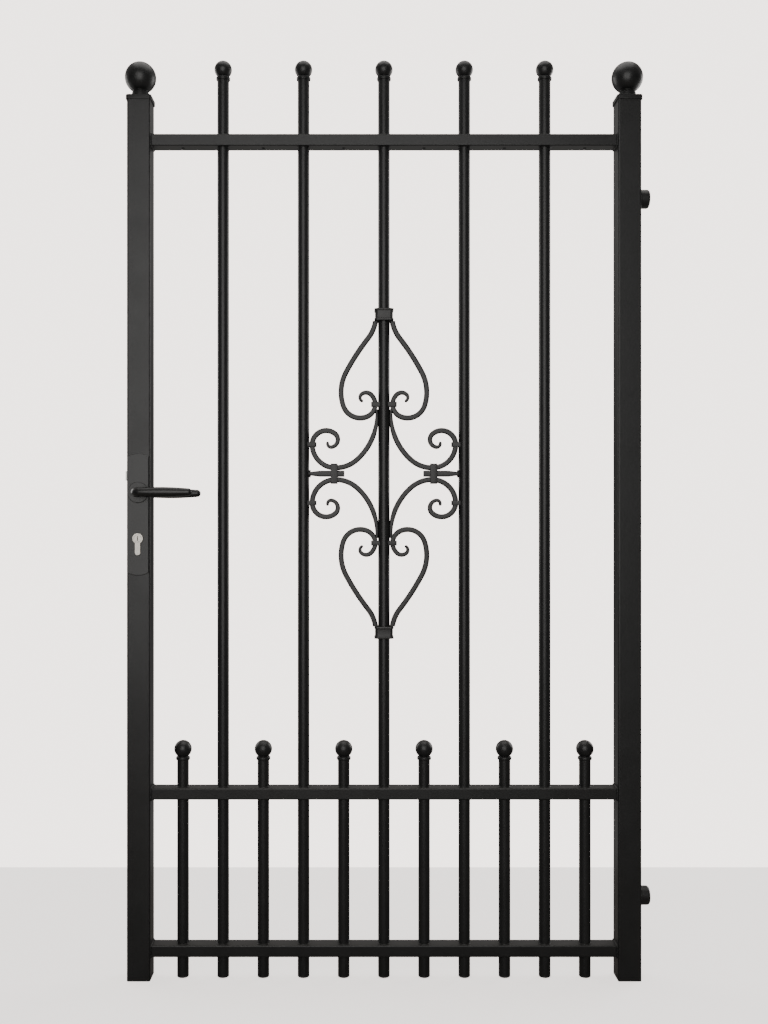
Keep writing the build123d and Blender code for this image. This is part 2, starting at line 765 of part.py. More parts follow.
def rear_escutcheon():
    plate = mirror_y(escutcheon_blank())
    for z in plate_screw_heights():
        plate -= plate_screw_place(z) * countersink(plate_screw_diameter, stile_side)
    return plate


def rosette():
    """Turned ring that carries the lever's neck."""
    inner = plate_face + plate_gap
    ring = rod_y(rosette_diameter, -rosette_face, -inner, 0, 0)
    ring = fillet(ring.edges().group_by(Axis.Y)[0], 1.0)
    groove = rod_y(rosette_groove_diameter, -rosette_face - 1, -rosette_face + rosette_groove_depth, 0, 0)
    groove -= rod_y(rosette_groove_diameter - 2 * rosette_groove_width, -grip_y, 0, 0, 0)
    ring = ring - groove - rod_y(neck_diameter + 2 * running_fit, -grip_y, 0, 0, 0)
    return Pos(lock_x, 0, follower_z) * ring


def turned_to_rear(piece):
    """Half a turn about the lever's own long axis, from the front of the leaf to the back."""
    return Pos(0, 0, follower_z) * Rot(180, 0, 0) * Pos(0, 0, -follower_z) * piece


def lever(grub_side):
    """Barrel-shaped grip on a round neck, with a square socket for the spindle.

    The grub screw's hole is above the neck for a side of 1 and below it for -1.
    """
    neck_end = -half_stile - neck_inset
    neck = rod_y(neck_diameter, -grip_y, neck_end, 0, 0)
    elbow = Pos(0, -grip_y, 0) * Sphere(neck_diameter / 2)
    shoulder = grip_length - grip_tip_round
    tip_diagonal = grip_tip_round * sqrt(0.5)
    outline = Curve() + [
        Line((0, 0), (0, grip_end_radius)),
        ThreePointArc((0, grip_end_radius), (shoulder / 2, grip_mid_radius), (shoulder, grip_tip_radius)),
        ThreePointArc((shoulder, grip_tip_radius), (shoulder + tip_diagonal, tip_diagonal), (grip_length, 0)),
        Line((grip_length, 0), (0, 0)),
    ]
    grip = Pos(0, -grip_y, 0) * revolve(make_face(outline), Axis.X)
    socket_side = spindle_side + 2 * spindle_fit
    socket_end = -spindle_length / 2 - spindle_fit
    handle = neck + elbow + grip
    handle -= block(-socket_side / 2, socket_side / 2, socket_end, 0, -socket_side / 2, socket_side / 2)
    low, high = sorted((0, grub_side * neck_diameter))
    handle -= rod_z(grub_diameter + 2 * screw_fit, low, high, 0, -grub_y())
    return Pos(lock_x, 0, follower_z) * handle


def grub_y():
    return rosette_face + grub_diameter


def grub_screw():
    """Grub screw under the neck, down on the spindle's flat."""
    top = -spindle_side / 2 - spindle_fit
    screw = rod_z(grub_diameter, top - grub_length, top, 0, -grub_y())
    socket = extrude(RegularPolygon(1.4, 6), 1.6)
    screw -= Pos(0, -grub_y(), top - grub_length) * socket
    return Pos(lock_x, 0, follower_z) * screw


def spindle():
    return Pos(lock_x, 0, follower_z) * Box(spindle_side, spindle_length, spindle_side)


# ---- write every node ---------------------------------------------------------------
os.makedirs("parts", exist_ok=True)

middle_bar = (bar_count - 1) // 2
bar_xs = [(i - middle_bar) * bar_pitch for i in range(bar_count)]
tall_xs = bar_xs[1::2]
short_xs = bar_xs[0::2]

save("lock_stile", lock_stile())
save("hinge_stile", hinge_stile())
save("stile_foot_plugs", stile_plug(-stile_x), stile_plug(stile_x))
save("stile_caps", stile_cap(-stile_x), stile_cap(stile_x))
save("stile_balls", stile_ball(-stile_x), stile_ball(stile_x))
save("lower_hinge_socket", hinge_socket(lower_hinge_z))
save("upper_hinge_socket", hinge_socket(upper_hinge_z))
save("bottom_rail", rail(bottom_rail_z, bar_xs))
save("middle_rail", rail(middle_rail_z, bar_xs))
save("top_rail", rail(top_rail_z, tall_xs, vents=short_xs))

for number, x in enumerate(tall_xs, start=1):
    save(f"tall_bar_{number}", bar(x, tall_bar_top))
for number, x in enumerate(short_xs, start=1):
    save(f"short_bar_{number}", bar(x, short_bar_top))
save("tall_bar_finials", *[finial(x, tall_bar_top) for x in tall_xs])
save("short_bar_finials", *[finial(x, short_bar_top) for x in short_xs])
save("bar_foot_plugs", *[bar_plug(x) for x in bar_xs])

save("top_collar", collar(ornament_z + collar_offset))
save("bottom_collar", collar(ornament_z - collar_offset))
for corner, piece in placed_four(scroll(heart_start, heart_heading, heart_arcs)):
    save(f"heart_scroll_{corner}", piece)
for corner, piece in placed_four(scroll(side_start, side_heading, side_arcs)):
    save(f"side_scroll_{corner}", piece)
save("stub_bars", stub(-1), stub(1))
save("side_clamps", side_clamp(-1), side_clamp(1))

signs = [(side, level) for level in (1, -1) for side in (-1, 1)]
save("centre_bar_ties", *[tie(s * heart_seat_x, 0, v * centre_tie_offset) for s, v in signs])
save("outer_bar_ties", *[tie(s * outer_scroll_x, s * outer_bar_x, v * outer_tie_offset) for s, v in signs])

save("lock_case", lock_case())
save("lock_case_cover", lock_case_cover())
save("forend", forend())
save("forend_tabs", forend_tab(-1), forend_tab(1))
save("forend_screws", *forend_screws())
save("follower", follower())
save("latch_bolt", latch_bolt())
save("latch_spring", latch_spring())
save("dead_bolt", dead_bolt())
save("cylinder_housing", cylinder_housing())
save("cylinder_plugs", cylinder_plug(), mirror_y(cylinder_plug()))
save("cylinder_cam", cylinder_cam())
save("cylinder_screw", cylinder_screw())

save("front_escutcheon", front_escutcheon())
save("rear_escutcheon", rear_escutcheon())
save("escutcheon_screws", *[plate_screw_place(z) * countersunk_screw(plate_screw_diameter, 30)
                            for z in plate_screw_heights()])
save("rosettes", rosette(), turned_to_rear(rosette()))
save("front_lever", lever(grub_side=-1))
save("rear_lever", turned_to_rear(lever(grub_side=1)))
save("spindle", spindle())
save("lever_grub_screws", grub_screw(), mirror_y(grub_screw()))
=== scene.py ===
import math

import bmesh
import bpy
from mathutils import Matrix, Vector, noise


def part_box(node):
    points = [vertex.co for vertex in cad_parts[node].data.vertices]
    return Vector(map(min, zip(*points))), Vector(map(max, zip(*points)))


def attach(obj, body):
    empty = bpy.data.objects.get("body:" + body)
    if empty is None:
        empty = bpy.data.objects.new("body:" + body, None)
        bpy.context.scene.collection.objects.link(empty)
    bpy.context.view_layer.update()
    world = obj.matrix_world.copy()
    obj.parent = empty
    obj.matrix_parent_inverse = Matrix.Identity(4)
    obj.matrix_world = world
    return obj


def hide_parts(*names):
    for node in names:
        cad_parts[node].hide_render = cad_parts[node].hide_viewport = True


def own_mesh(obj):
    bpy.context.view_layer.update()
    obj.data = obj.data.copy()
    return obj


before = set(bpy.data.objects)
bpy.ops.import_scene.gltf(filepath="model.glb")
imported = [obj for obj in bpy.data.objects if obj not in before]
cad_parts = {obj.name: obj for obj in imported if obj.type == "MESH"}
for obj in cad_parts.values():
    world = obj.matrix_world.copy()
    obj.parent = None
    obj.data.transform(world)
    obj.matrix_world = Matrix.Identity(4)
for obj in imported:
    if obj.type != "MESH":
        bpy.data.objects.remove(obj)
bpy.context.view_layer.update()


# ---- stiles -------------------------------------------------------------------------
# The two square steel tubes that the gate is built between. They are drawn tube with
# rounded corners, slotted and drilled for the lock or the hinges, then blasted and
# finished in satin black powder coat together with everything welded to them.
def middle_of(node):
    """Middle of a CAD node's box, as x, y, z."""
    return [(low + high) / 2 for low, high in zip(*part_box(node))]


leaf_x = (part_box("lock_stile")[0].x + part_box("hinge_stile")[1].x) / 2
feet_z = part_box("stile_foot_plugs")[0].z
stile_x = {"lock": middle_of("lock_stile")[0], "hinge": middle_of("hinge_stile")[0]}
stile_half = 0.020


def add(tree, kind, inputs=None, **settings):
    """New shader node with its settings and its unlinked input values."""
    node = tree.nodes.new(kind)
    for key, value in settings.items():
        setattr(node, key, value)
    for key, value in (inputs or {}).items():
        node.inputs[key].default_value = value
    return node


def effect(name, inputs, outputs):
    """Empty node group with named float or vector sockets."""
    tree = bpy.data.node_groups.new(name, "ShaderNodeTree")
    for socket, kind, value in inputs:
        made = tree.interface.new_socket(socket, in_out="INPUT",
                                         socket_type="NodeSocket" + kind)
        if value is not None:
            made.default_value = value
    for socket in outputs:
        tree.interface.new_socket(socket, in_out="OUTPUT", socket_type="NodeSocketFloat")
    return tree, tree.nodes.new("NodeGroupInput"), tree.nodes.new("NodeGroupOutput")


def math_node(tree, operation, a, b):
    """Math node fed by sockets or plain numbers; returns its output."""
    node = add(tree, "ShaderNodeMath", operation=operation)
    for index, value in enumerate((a, b)):
        if isinstance(value, (int, float)):
            node.inputs[index].default_value = value
        else:
            tree.links.new(value, node.inputs[index])
    return node.outputs[0]


def noise_at(tree, vector, scale, detail=2.0, roughness=0.5):
    """Noise texture read at a vector; the scale is a number or a socket."""
    node = add(tree, "ShaderNodeTexNoise", {"Detail": detail, "Roughness": roughness})
    tree.links.new(vector, node.inputs["Vector"])
    if isinstance(scale, (int, float)):
        node.inputs["Scale"].default_value = scale
    else:
        tree.links.new(scale, node.inputs["Scale"])
    return node.outputs["Fac"]


def make_coat_grain():
    """Orange peel of sprayed powder: soft dimples with a much finer grain on them."""
    tree, taken, given = effect(
        "coat_grain",
        [("Place", "Vector", None), ("Dimple Scale", "Float", 620.0),
         ("Grain Scale", "Float", 2600.0), ("Grain Share", "Float", 0.35)],
        ["Height", "Mottle"],
    )
    dimples = noise_at(tree, taken.outputs["Place"], taken.outputs["Dimple Scale"], 1.0)
    grain = noise_at(tree, taken.outputs["Place"], taken.outputs["Grain Scale"], 2.0)
    fine = math_node(tree, "MULTIPLY", grain, taken.outputs["Grain Share"])
    tree.links.new(math_node(tree, "ADD", dimples, fine), given.inputs["Height"])
    clouds = noise_at(tree, taken.outputs["Place"], 22.0, 4.0, 0.6)
    tree.links.new(clouds, given.inputs["Mottle"])
    return tree


def make_edge_highlight_and_wear():
    """Mask along outside edges: partly wear where a coat is thinner, partly a painted highlight
    that lightens the edges.
    """
    tree, taken, given = effect(
        "edge_highlight_and_wear",
        [("Place", "Vector", None), ("Reach", "Float", 0.0012),
         ("Patch Scale", "Float", 90.0), ("Strength", "Float", 1.0)],
        ["Mask"],
    )
    soft = add(tree, "ShaderNodeBevel", samples=4)
    tree.links.new(taken.outputs["Reach"], soft.inputs["Radius"])
    plain = tree.nodes.new("ShaderNodeNewGeometry")
    facing = add(tree, "ShaderNodeVectorMath", operation="DOT_PRODUCT")
    tree.links.new(soft.outputs["Normal"], facing.inputs[0])
    tree.links.new(plain.outputs["Normal"], facing.inputs[1])
    turned_away = math_node(tree, "SUBTRACT", 1.0, facing.outputs["Value"])
    edge = math_node(tree, "MINIMUM", math_node(tree, "MULTIPLY", turned_away, 6.0), 1.0)
    patches = noise_at(tree, taken.outputs["Place"], taken.outputs["Patch Scale"], 3.0)
    # Patchy edge mask: partly wear, partly a painted edge highlight.
    patchy_highlight_and_wear = math_node(tree, "MULTIPLY", edge, math_node(tree, "ADD", patches, 0.25))
    highlight_and_wear = math_node(tree, "MULTIPLY", patchy_highlight_and_wear, taken.outputs["Strength"])
    tree.links.new(highlight_and_wear, given.inputs["Mask"])
    return tree


def make_settled_dust():
    """Mask of fine dust on faces that look up."""
    tree, taken, given = effect(
        "settled_dust",
        [("Place", "Vector", None), ("Amount", "Float", 0.3),
         ("Patch Scale", "Float", 35.0)],
        ["Mask"],
    )
    plain = tree.nodes.new("ShaderNodeNewGeometry")
    split = tree.nodes.new("ShaderNodeSeparateXYZ")
    tree.links.new(plain.outputs["Normal"], split.inputs[0])
    upward = add(tree, "ShaderNodeMapRange", {"From Min": 0.35, "From Max": 1.0})
    tree.links.new(split.outputs["Z"], upward.inputs["Value"])
    patches = noise_at(tree, taken.outputs["Place"], taken.outputs["Patch Scale"], 5.0, 0.65)
    lying = math_node(tree, "MULTIPLY", upward.outputs["Result"], patches)
    settled = math_node(tree, "MULTIPLY", lying, taken.outputs["Amount"])
    tree.links.new(settled, given.inputs["Mask"])
    return tree


coat_grain = make_coat_grain()
edge_highlight_and_wear = make_edge_highlight_and_wear()
settled_dust = make_settled_dust()
coat_roughness = 0.18
edge_highlight_and_wear_strength = 0.8
dust_colour = (0.23, 0.21, 0.185, 1.0)
dust_roughness = 0.5
mottle_lift = 1.9
peel_height = 0.00006


def place_group(tree, group, place, values):
    """Effect group put into a material and read at a place, with its own values."""
    node = add(tree, "ShaderNodeGroup", node_tree=group)
    tree.links.new(place, node.inputs["Place"])
    for key, value in values.items():
        node.inputs[key].default_value = value
    return node


def mixed(tree, factor, first, second):
    """Colour mix; each colour is a tuple or a socket."""
    node = add(tree, "ShaderNodeMix", data_type="RGBA")
    tree.links.new(factor, node.inputs["Factor"])
    for index, value in ((6, first), (7, second)):
        if isinstance(value, tuple):
            node.inputs[index].default_value = value
        else:
            tree.links.new(value, node.inputs[index])
    return node.outputs[2]


def coated(name, black, highlight_and_wear, roughness, spread, peel, dust, coat=0.0, dimple_scale=620.0):
    """Powder-coated or moulded black finish, from its colours, gloss and grain."""
    material = bpy.data.materials.new(name)
    material.use_nodes = True
    tree = material.node_tree
    shader = tree.nodes["Principled BSDF"]
    shader.inputs["Coat Roughness"].default_value = coat_roughness
    shader.inputs["Coat Weight"].default_value = coat
    place = tree.nodes.new("ShaderNodeTexCoord").outputs["Object"]
    grain = place_group(tree, coat_grain, place, {"Dimple Scale": dimple_scale})
    edges = place_group(tree, edge_highlight_and_wear, place, {"Strength": edge_highlight_and_wear_strength})
    lying = place_group(tree, settled_dust, place, {"Amount": dust})
    lifted = tuple(channel * mottle_lift for channel in black[:3]) + (1.0,)
    colour = mixed(tree, grain.outputs["Mottle"], black, lifted)
    # Edges painted lighter: partly wear of the thinner coat, partly a painted highlight along the
    # edges.
    colour = mixed(tree, edges.outputs["Mask"], colour, highlight_and_wear)
    colour = mixed(tree, lying.outputs["Mask"], colour, dust_colour)
    tree.links.new(colour, shader.inputs["Base Color"])
    cloudy = math_node(tree, "MULTIPLY_ADD", grain.outputs["Mottle"], spread)
    cloudy.node.inputs[2].default_value = roughness - spread / 2
    dusty = math_node(tree, "MULTIPLY", lying.outputs["Mask"], dust_roughness)
    tree.links.new(math_node(tree, "ADD", cloudy, dusty), shader.inputs["Roughness"])
    bump = add(tree, "ShaderNodeBump", {"Strength": peel, "Distance": peel_height})
    tree.links.new(grain.outputs["Height"], bump.inputs["Height"])
    tree.links.new(bump.outputs["Normal"], shader.inputs["Normal"])
    return material


# The second colour is the lighter edge colour: partly wear, partly a painted edge highlight.
powder_coat = coated("satin_black_powder_coat",
                     (0.0082, 0.0085, 0.0088, 1.0), (0.040, 0.040, 0.039, 1.0),
                     roughness=0.40, spread=0.17, peel=0.85, dust=0.16, coat=0.10)


def finish_node(node, material):
    """Give a CAD node its procedural material."""
    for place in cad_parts[node].material_slots:
        place.material = material


for node in ("lock_stile", "hinge_stile"):
    finish_node(node, powder_coat)


# ---- stile foot plugs ---------------------------------------------------------------
# Moulded black plastic plugs knocked into the open feet of the stiles, so that the leaf
# can stand on its feet. A flange with a softened rim closes the tube and a hollow square
# spigot holds it inside.
plug_half = 0.0200
plug_flange = 0.0030
plug_rim_rounding = 0.0011
plug_bottom_half = plug_half - 0.004
plug_corner_centre = 0.0170
plug_least_corner = 0.0005
plug_spigot_half = 0.0177
plug_spigot_wall = 0.0020
plug_spigot_corner = 0.0010
plug_depth = 0.0230
# The second colour is the lighter edge colour: partly wear, partly a painted edge highlight.
plug_plastic = coated("moulded_plug_plastic",
                      (0.0150, 0.0152, 0.0155, 1.0), (0.034, 0.034, 0.034, 1.0),
                      roughness=0.55, spread=0.12, peel=0.9, dust=0.2, dimple_scale=1500.0)


def softened(corners, closed=False, steps=6):
    """Outline through (u, v, radius) corners with every corner rounded by its radius."""
    count = len(corners)
    out = []
    for index, (u, v, radius) in enumerate(corners):
        here = Vector((u, v))
        if radius <= 0 or (not closed and index in (0, count - 1)):
            out.append((u, v))
            continue
        before = (Vector(corners[index - 1][:2]) - here).normalized()
        after = (Vector(corners[(index + 1) % count][:2]) - here).normalized()
        half = before.angle(after) / 2
        if abs(half - math.pi / 2) < 1e-4:
            out.append((u, v))
            continue
        middle = here + (before + after).normalized() * (radius / math.sin(half))
        first = here + before * (radius / math.tan(half)) - middle
        last = here + after * (radius / math.tan(half)) - middle
        turn = math.atan2(first.x * last.y - first.y * last.x, first.dot(last))
        for step in range(steps + 1):
            angle = turn * step / steps
            c, s = math.cos(angle), math.sin(angle)
            out.append((middle.x + first.x * c - first.y * s,
                        middle.y + first.x * s + first.y * c))
    return out


def rounded_rectangle(half_u, half_v, radius, steps=6):
    """Closed outline of a rectangle about its middle, its corners rounded alike."""
    corners = [(half_u, half_v, radius), (-half_u, half_v, radius),
               (-half_u, -half_v, radius), (half_u, -half_v, radius)]
    return softened(corners, closed=True, steps=steps)


def settled_mesh(name, builder, material, body="leaf", crease=38):
    """Turn the builder mesh into a smooth-shaded piece that rides on its body."""
    bmesh.ops.remove_doubles(builder, verts=builder.verts, dist=2e-7)
    bmesh.ops.recalc_face_normals(builder, faces=builder.faces)
    mesh = bpy.data.meshes.new(name)
    builder.to_mesh(mesh)
    builder.free()
    for face in mesh.polygons:
        face.use_smooth = True
    mesh.set_sharp_from_angle(angle=math.radians(crease))
    mesh.materials.append(material)
    piece = bpy.data.objects.new(name, mesh)
    bpy.context.scene.collection.objects.link(piece)
    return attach(piece, body)


def skin(builder, rings, loop=False, first_cap=True, last_cap=True):
    """Faces between rings of equal length, in one builder mesh."""
    layers = [[builder.verts.new(point) for point in ring] for ring in rings]
    following = layers[1:] + (layers[:1] if loop else [])
    for lower, upper in zip(layers, following):
        for i in range(len(lower)):
            j = (i + 1) % len(lower)
            builder.faces.new((lower[i], lower[j], upper[j], upper[i]))
    if not loop and first_cap:
        builder.faces.new(layers[0][::-1])
    if not loop and last_cap:
        builder.faces.new(layers[-1])


def square_ring(half, radius, x, z):
    """Level square with round corners about a stile's axis."""
    return [(x + u, v, z) for u, v in rounded_rectangle(half, half, radius, steps=7)]


for side, x in stile_x.items():
    builder = bmesh.new()
    rim = softened([(plug_bottom_half, 0.0, 0), (plug_half, 0.0, plug_rim_rounding),
                    (plug_half, plug_flange, 0)])
    rings = [square_ring(half, max(plug_least_corner, half - plug_corner_centre), x,
                         feet_z + z) for half, z in rim]
    spigot_inside = plug_spigot_half - plug_spigot_wall
    for half, z in ((plug_spigot_half, plug_flange), (plug_spigot_half, plug_depth),
                    (spigot_inside, plug_depth), (spigot_inside, plug_flange)):
        rings.append(square_ring(half, plug_spigot_corner, x, feet_z + z))
    skin(builder, rings)
    piece = settled_mesh(side + "_stile_foot_plug", builder, plug_plastic)
    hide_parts("stile_foot_plugs")


# ---- rails --------------------------------------------------------------------------
# Three flat rectangular tubes laid level between the stiles and drilled for the round
# bars. Each end is welded all round to the stile, and each bar is welded where it passes
# through; the beads are left as laid and coated over.
rails = ("bottom_rail", "middle_rail", "top_rail")
rail_half_height = 0.010
rail_half_depth = 0.015
rail_corner = 0.002
end_bead = 0.0019
end_bead_out = 0.0004
end_bead_inward = 0.0006
end_puddle = 0.0026
end_bead_step = 0.0006
bar_bead = 0.0009
bar_bead_out = 0.0003
bar_bead_lift = 0.0002
bar_puddle = 0.0022


def circle(radius, count):
    """Points round a circle about the origin."""
    return [(radius * math.cos(math.tau * k / count), radius * math.sin(math.tau * k / count))
            for k in range(count)]


def swept(builder, path, section, up, loop=False, first_cap=True, last_cap=True):
    """Skin round a path: section(i) gives (aside, up) points for station i."""
    count = len(path)
    rings = []
    for i, point in enumerate(path):
        if loop:
            ahead = path[(i + 1) % count] - path[i - 1]
        else:
            ahead = path[min(i + 1, count - 1)] - path[max(i - 1, 0)]
        aside = ahead.normalized().cross(up).normalized()
        rings.append([point + aside * u + up * v for u, v in section(i)])
    skin(builder, rings, loop, first_cap, last_cap)


def weld_bead(builder, path, up, radius, ripple, seed, loop=True):
    """Bead laid in short overlapping puddles, a little uneven along its run."""
    run = 0.0

    def section(i):
        nonlocal run
        if i:
            run += (path[i] - path[i - 1]).length
        puddle = abs(math.sin(math.pi * run / ripple))
        drift = noise.noise(path[i] * 140 + Vector((seed, seed, seed)))
        return circle(radius * (0.80 + 0.16 * puddle + 0.22 * drift), 8)

    swept(builder, path, section, up, loop, not loop, not loop)


def evenly(outline, step):
    """Points at an even step along a closed run of vectors."""
    out = []
    for start, end in zip(outline, outline[1:] + outline[:1]):
        pieces = max(1, round((end - start).length / step))
        out += [start.lerp(end, k / pieces) for k in range(pieces)]
    return out


bar_centres = []
for kind, count in (("tall", 5), ("short", 6)):
    for number in range(1, count + 1):
        bar = f"{kind}_bar_{number}"
        low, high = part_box(bar)
        bar_centres.append((kind, middle_of(bar)[0], low.z, high.z))
bar_radius = (high.x - low.x) / 2
outline_half = (rail_half_depth + end_bead_out, rail_half_height + end_bead_out)

for order, node in enumerate(rails):
    finish_node(node, powder_coat)
    low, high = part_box(node)
    z = middle_of(node)[2]
    builder = bmesh.new()
    for side, x in stile_x.items():
        inward = 1 if x < leaf_x else -1
        face = x + inward * stile_half
        outline = [Vector((face + inward * end_bead_inward, u, z + v))
                   for u, v in rounded_rectangle(*outline_half, rail_corner)]
        weld_bead(builder, evenly(outline, end_bead_step), Vector((1, 0, 0)), end_bead,
                  end_puddle, seed=order + x)
    settled_mesh(node + "_end_welds", builder, powder_coat, crease=80)

    builder = bmesh.new()
    for _, x, _, top in bar_centres:
        if top < low.z:
            continue
        for level, lift in ((high.z, bar_bead_lift), (low.z, -bar_bead_lift)):
            ring = [Vector((x + u, v, level + lift))
                    for u, v in circle(bar_radius + bar_bead_out, 96)]
            weld_bead(builder, ring, Vector((0, 0, 1)), bar_bead, bar_puddle, seed=x + level)
    settled_mesh(node + "_bar_welds", builder, powder_coat, crease=80)


# ---- round bars and their foot plugs ------------------------------------------------
# Eleven round steel tubes stand through the rails: five run past the top rail and six
# stop above the middle rail. Each open foot is closed with a pushed-in plastic plug that
# has a rounded rim.
bar_plug_flange = 0.0030
bar_plug_depth = 0.0150
bar_plug_spigot = 0.0083


def turned(builder, profile, centre, axis, segments=72, loop=False):
    """Turned shape: the profile's (radius, distance along the axis) swung round the axis."""
    first = Vector((0, 1, 0)) if abs(axis.y) < 0.5 else Vector((1, 0, 0))
    second = axis.cross(first)
    rings = []
    for radius, along in profile:
        rings.append([centre + axis * along + (first * u + second * v) * radius
                      for u, v in circle(1.0, segments)])
    skin(builder, rings, loop, False, False)


upward = Vector((0, 0, 1))
for number in range(1, 6):
    finish_node(f"tall_bar_{number}", powder_coat)
for number in range(1, 7):
    finish_node(f"short_bar_{number}", powder_coat)
for number, (_, x, foot, _) in enumerate(bar_centres, start=1):
    builder = bmesh.new()
    profile = softened([(0.0, -bar_plug_flange, 0), (bar_radius, -bar_plug_flange, 0.0013),
                        (bar_radius, 0.0, 0.0002), (bar_plug_spigot, 0.0, 0.0),
                        (bar_plug_spigot, bar_plug_depth, 0.0008), (0.0, bar_plug_depth, 0)])
    turned(builder, profile, Vector((x, 0, foot)), upward)
    piece = settled_mesh(f"bar_foot_plug_{number}", builder, plug_plastic)
    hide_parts("bar_foot_plugs")


# ---- ball finials -------------------------------------------------------------------
# Every bar ends in a turned steel finial: a rounded ring over the tube's end, a short
# neck and a ball. It is spigoted into the tube and welded, and the coat softens the
# corners between ring, neck and ball.
finial_spigot = 0.0040
ring_radius = 0.0120
ring_height = 0.0055
neck_radius = 0.0085
neck_top_radius = neck_radius + 0.0004
ball_radius = 0.0150
ball_height = 0.0185
ball_foot_radius = neck_radius + 0.0011


def ball_arc(radius, height, from_radius, steps=40):
    """Profile points up a ball, from the radius where it leaves its neck to its top."""
    start = -math.acos(from_radius / radius)
    angles = [start + (math.pi / 2 - start) * k / steps for k in range(steps + 1)]
    return [(radius * math.cos(a) if k < steps else 0.0, height + radius * math.sin(a))
            for k, a in enumerate(angles)]


for number, (kind, x, _, top) in enumerate(bar_centres, start=1):
    builder = bmesh.new()
    profile = softened([(bar_plug_spigot, -finial_spigot, 0), (bar_plug_spigot, 0.0, 0),
                        (ring_radius, 0.0, 0.0012), (ring_radius, ring_height, 0.0017),
                        (neck_top_radius, ring_height, 0.0003),
                        (neck_top_radius, ring_height + 0.0007, 0)])
    profile += ball_arc(ball_radius, ball_height, ball_foot_radius)
    turned(builder, [(0.0, -finial_spigot)] + profile, Vector((x, 0, top)), upward)
    piece = settled_mesh(f"{kind}_bar_finial_{number}", builder, powder_coat)
    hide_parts(f"{kind}_bar_finials")


# ---- stile caps and balls -----------------------------------------------------------
# A pressed square cap covers the top of each stile with a short skirt. A turned neck is
# welded on it, and a hollow ball, pressed in two halves and dressed smooth, sits on the
# neck's seat.
cap_half = 0.0218
cap_skirt = 0.0080
cap_wall = 0.0015
cap_inside_corner = 0.0030
cap_corner_centre = 0.0173
cap_least_corner = 0.0012
cap_middle_half = 0.0150
stile_ball_radius = 0.0267
seat_radius = 0.0123
seat_height = 0.0112
seat_overlap = 0.0001
seat_bead = 0.0008
seat_bead_out = 0.0004
seat_puddle = 0.0030
neck_bore = 0.0060
neck_shoulder = 0.0095
neck_profile = [(neck_bore, 0.0, 0), (0.0158, 0.0, 0), (0.0146, 0.0011, 0.0008),
                (0.0145, neck_shoulder, 0.0016), (seat_radius, neck_shoulder, 0.0003),
                (seat_radius, seat_height, 0), (neck_bore, seat_height, 0)]
cap_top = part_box("stile_caps")[1].z - seat_height

for side, x in stile_x.items():
    builder = bmesh.new()
    outline = softened([(cap_half, -cap_skirt, 0.0004), (cap_half, 0.0, 0.0014),
                        (cap_middle_half, 0.0, 0)])
    rings = [square_ring(cap_half - cap_wall, cap_inside_corner, x, cap_top - depth)
             for depth in (cap_wall, cap_skirt)]
    rings += [square_ring(half, max(cap_least_corner, half - cap_corner_centre), x, cap_top + z)
              for half, z in outline[:-1]]
    rings.append(square_ring(cap_middle_half, cap_least_corner, x, cap_top))
    skin(builder, rings)
    piece = settled_mesh(side + "_stile_cap", builder, powder_coat)
    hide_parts("stile_caps")

    builder = bmesh.new()
    turned(builder, softened(neck_profile, closed=True), Vector((x, 0, cap_top)), upward, 96,
           loop=True)
    piece = settled_mesh(side + "_stile_cap_neck", builder, powder_coat)
    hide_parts("stile_caps")

    builder = bmesh.new()
    seat_drop = math.sqrt(stile_ball_radius ** 2 - seat_radius ** 2)
    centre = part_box("stile_balls")[1].z - stile_ball_radius
    profile = [(neck_bore, -seat_drop + seat_overlap),
               (seat_radius - 0.0004, -seat_drop + seat_overlap)]
    profile += ball_arc(stile_ball_radius, 0.0, seat_radius + 0.0004, steps=72)
    turned(builder, profile, Vector((x, 0, centre)), upward, 128)
    piece = settled_mesh(side + "_stile_ball", builder, powder_coat)
    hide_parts("stile_balls")

    builder = bmesh.new()
    ring = [Vector((x + u, v, centre - seat_drop + seat_overlap))
            for u, v in circle(seat_radius + seat_bead_out, 96)]
    weld_bead(builder, ring, upward, seat_bead, seat_puddle, seed=x)
    settled_mesh(side + "_ball_seat_weld", builder, powder_coat, crease=80)


# ---- hinge sockets ------------------------------------------------------------------
# Two turned bosses with a rounded mouth, let into the outer wall of the hinge stile and
# welded round. Each is tapped for an adjustable eye bolt, so threads show in the bore.
socket_radius = 0.0160
socket_length = 0.0170
socket_rounding = 0.0045
socket_spigot = 0.0120
socket_depth = 0.0140
thread_root = 0.0079
thread_crest = 0.0069
thread_pitch = 0.0020
thread_chamfer = 0.0003
thread_start = 0.0008
thread_turn = [(thread_crest, 0.0), (thread_crest, 0.0003),
               (thread_root, 0.0009), (thread_root, 0.0012)]
boss_bead = 0.0018
boss_bead_inset = 0.0006
boss_bead_radius = 0.0163
boss_puddle = 0.0028
mouth_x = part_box("lower_hinge_socket")[1].x

for level in ("lower", "upper"):
    centre = Vector((mouth_x - socket_length, 0, middle_of(level + "_hinge_socket")[2]))
    profile = softened([(socket_spigot, -socket_depth, 0.0005), (socket_spigot, 0.0, 0),
                        (socket_radius, 0.0, 0), (socket_radius, socket_length, socket_rounding),
                        (thread_root + 0.0004, socket_length, thread_chamfer)], steps=12)
    along = socket_length - thread_start
    while along > -socket_depth + thread_pitch:
        profile += [(radius, along - drop) for radius, drop in thread_turn]
        along -= thread_pitch
    profile.append((thread_crest, -socket_depth))
    builder = bmesh.new()
    turned(builder, profile, centre, Vector((1, 0, 0)), 96, loop=True)
    piece = settled_mesh(level + "_hinge_boss", builder, powder_coat)
    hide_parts(level + "_hinge_socket")
    builder = bmesh.new()
    ring = [Vector((centre.x + boss_bead_inset, u, centre.z + v))
            for u, v in circle(boss_bead_radius, 120)]
    weld_bead(builder, ring, Vector((1, 0, 0)), boss_bead, boss_puddle, seed=centre.z)
    settled_mesh(level + "_hinge_boss_weld", builder, powder_coat, crease=80)


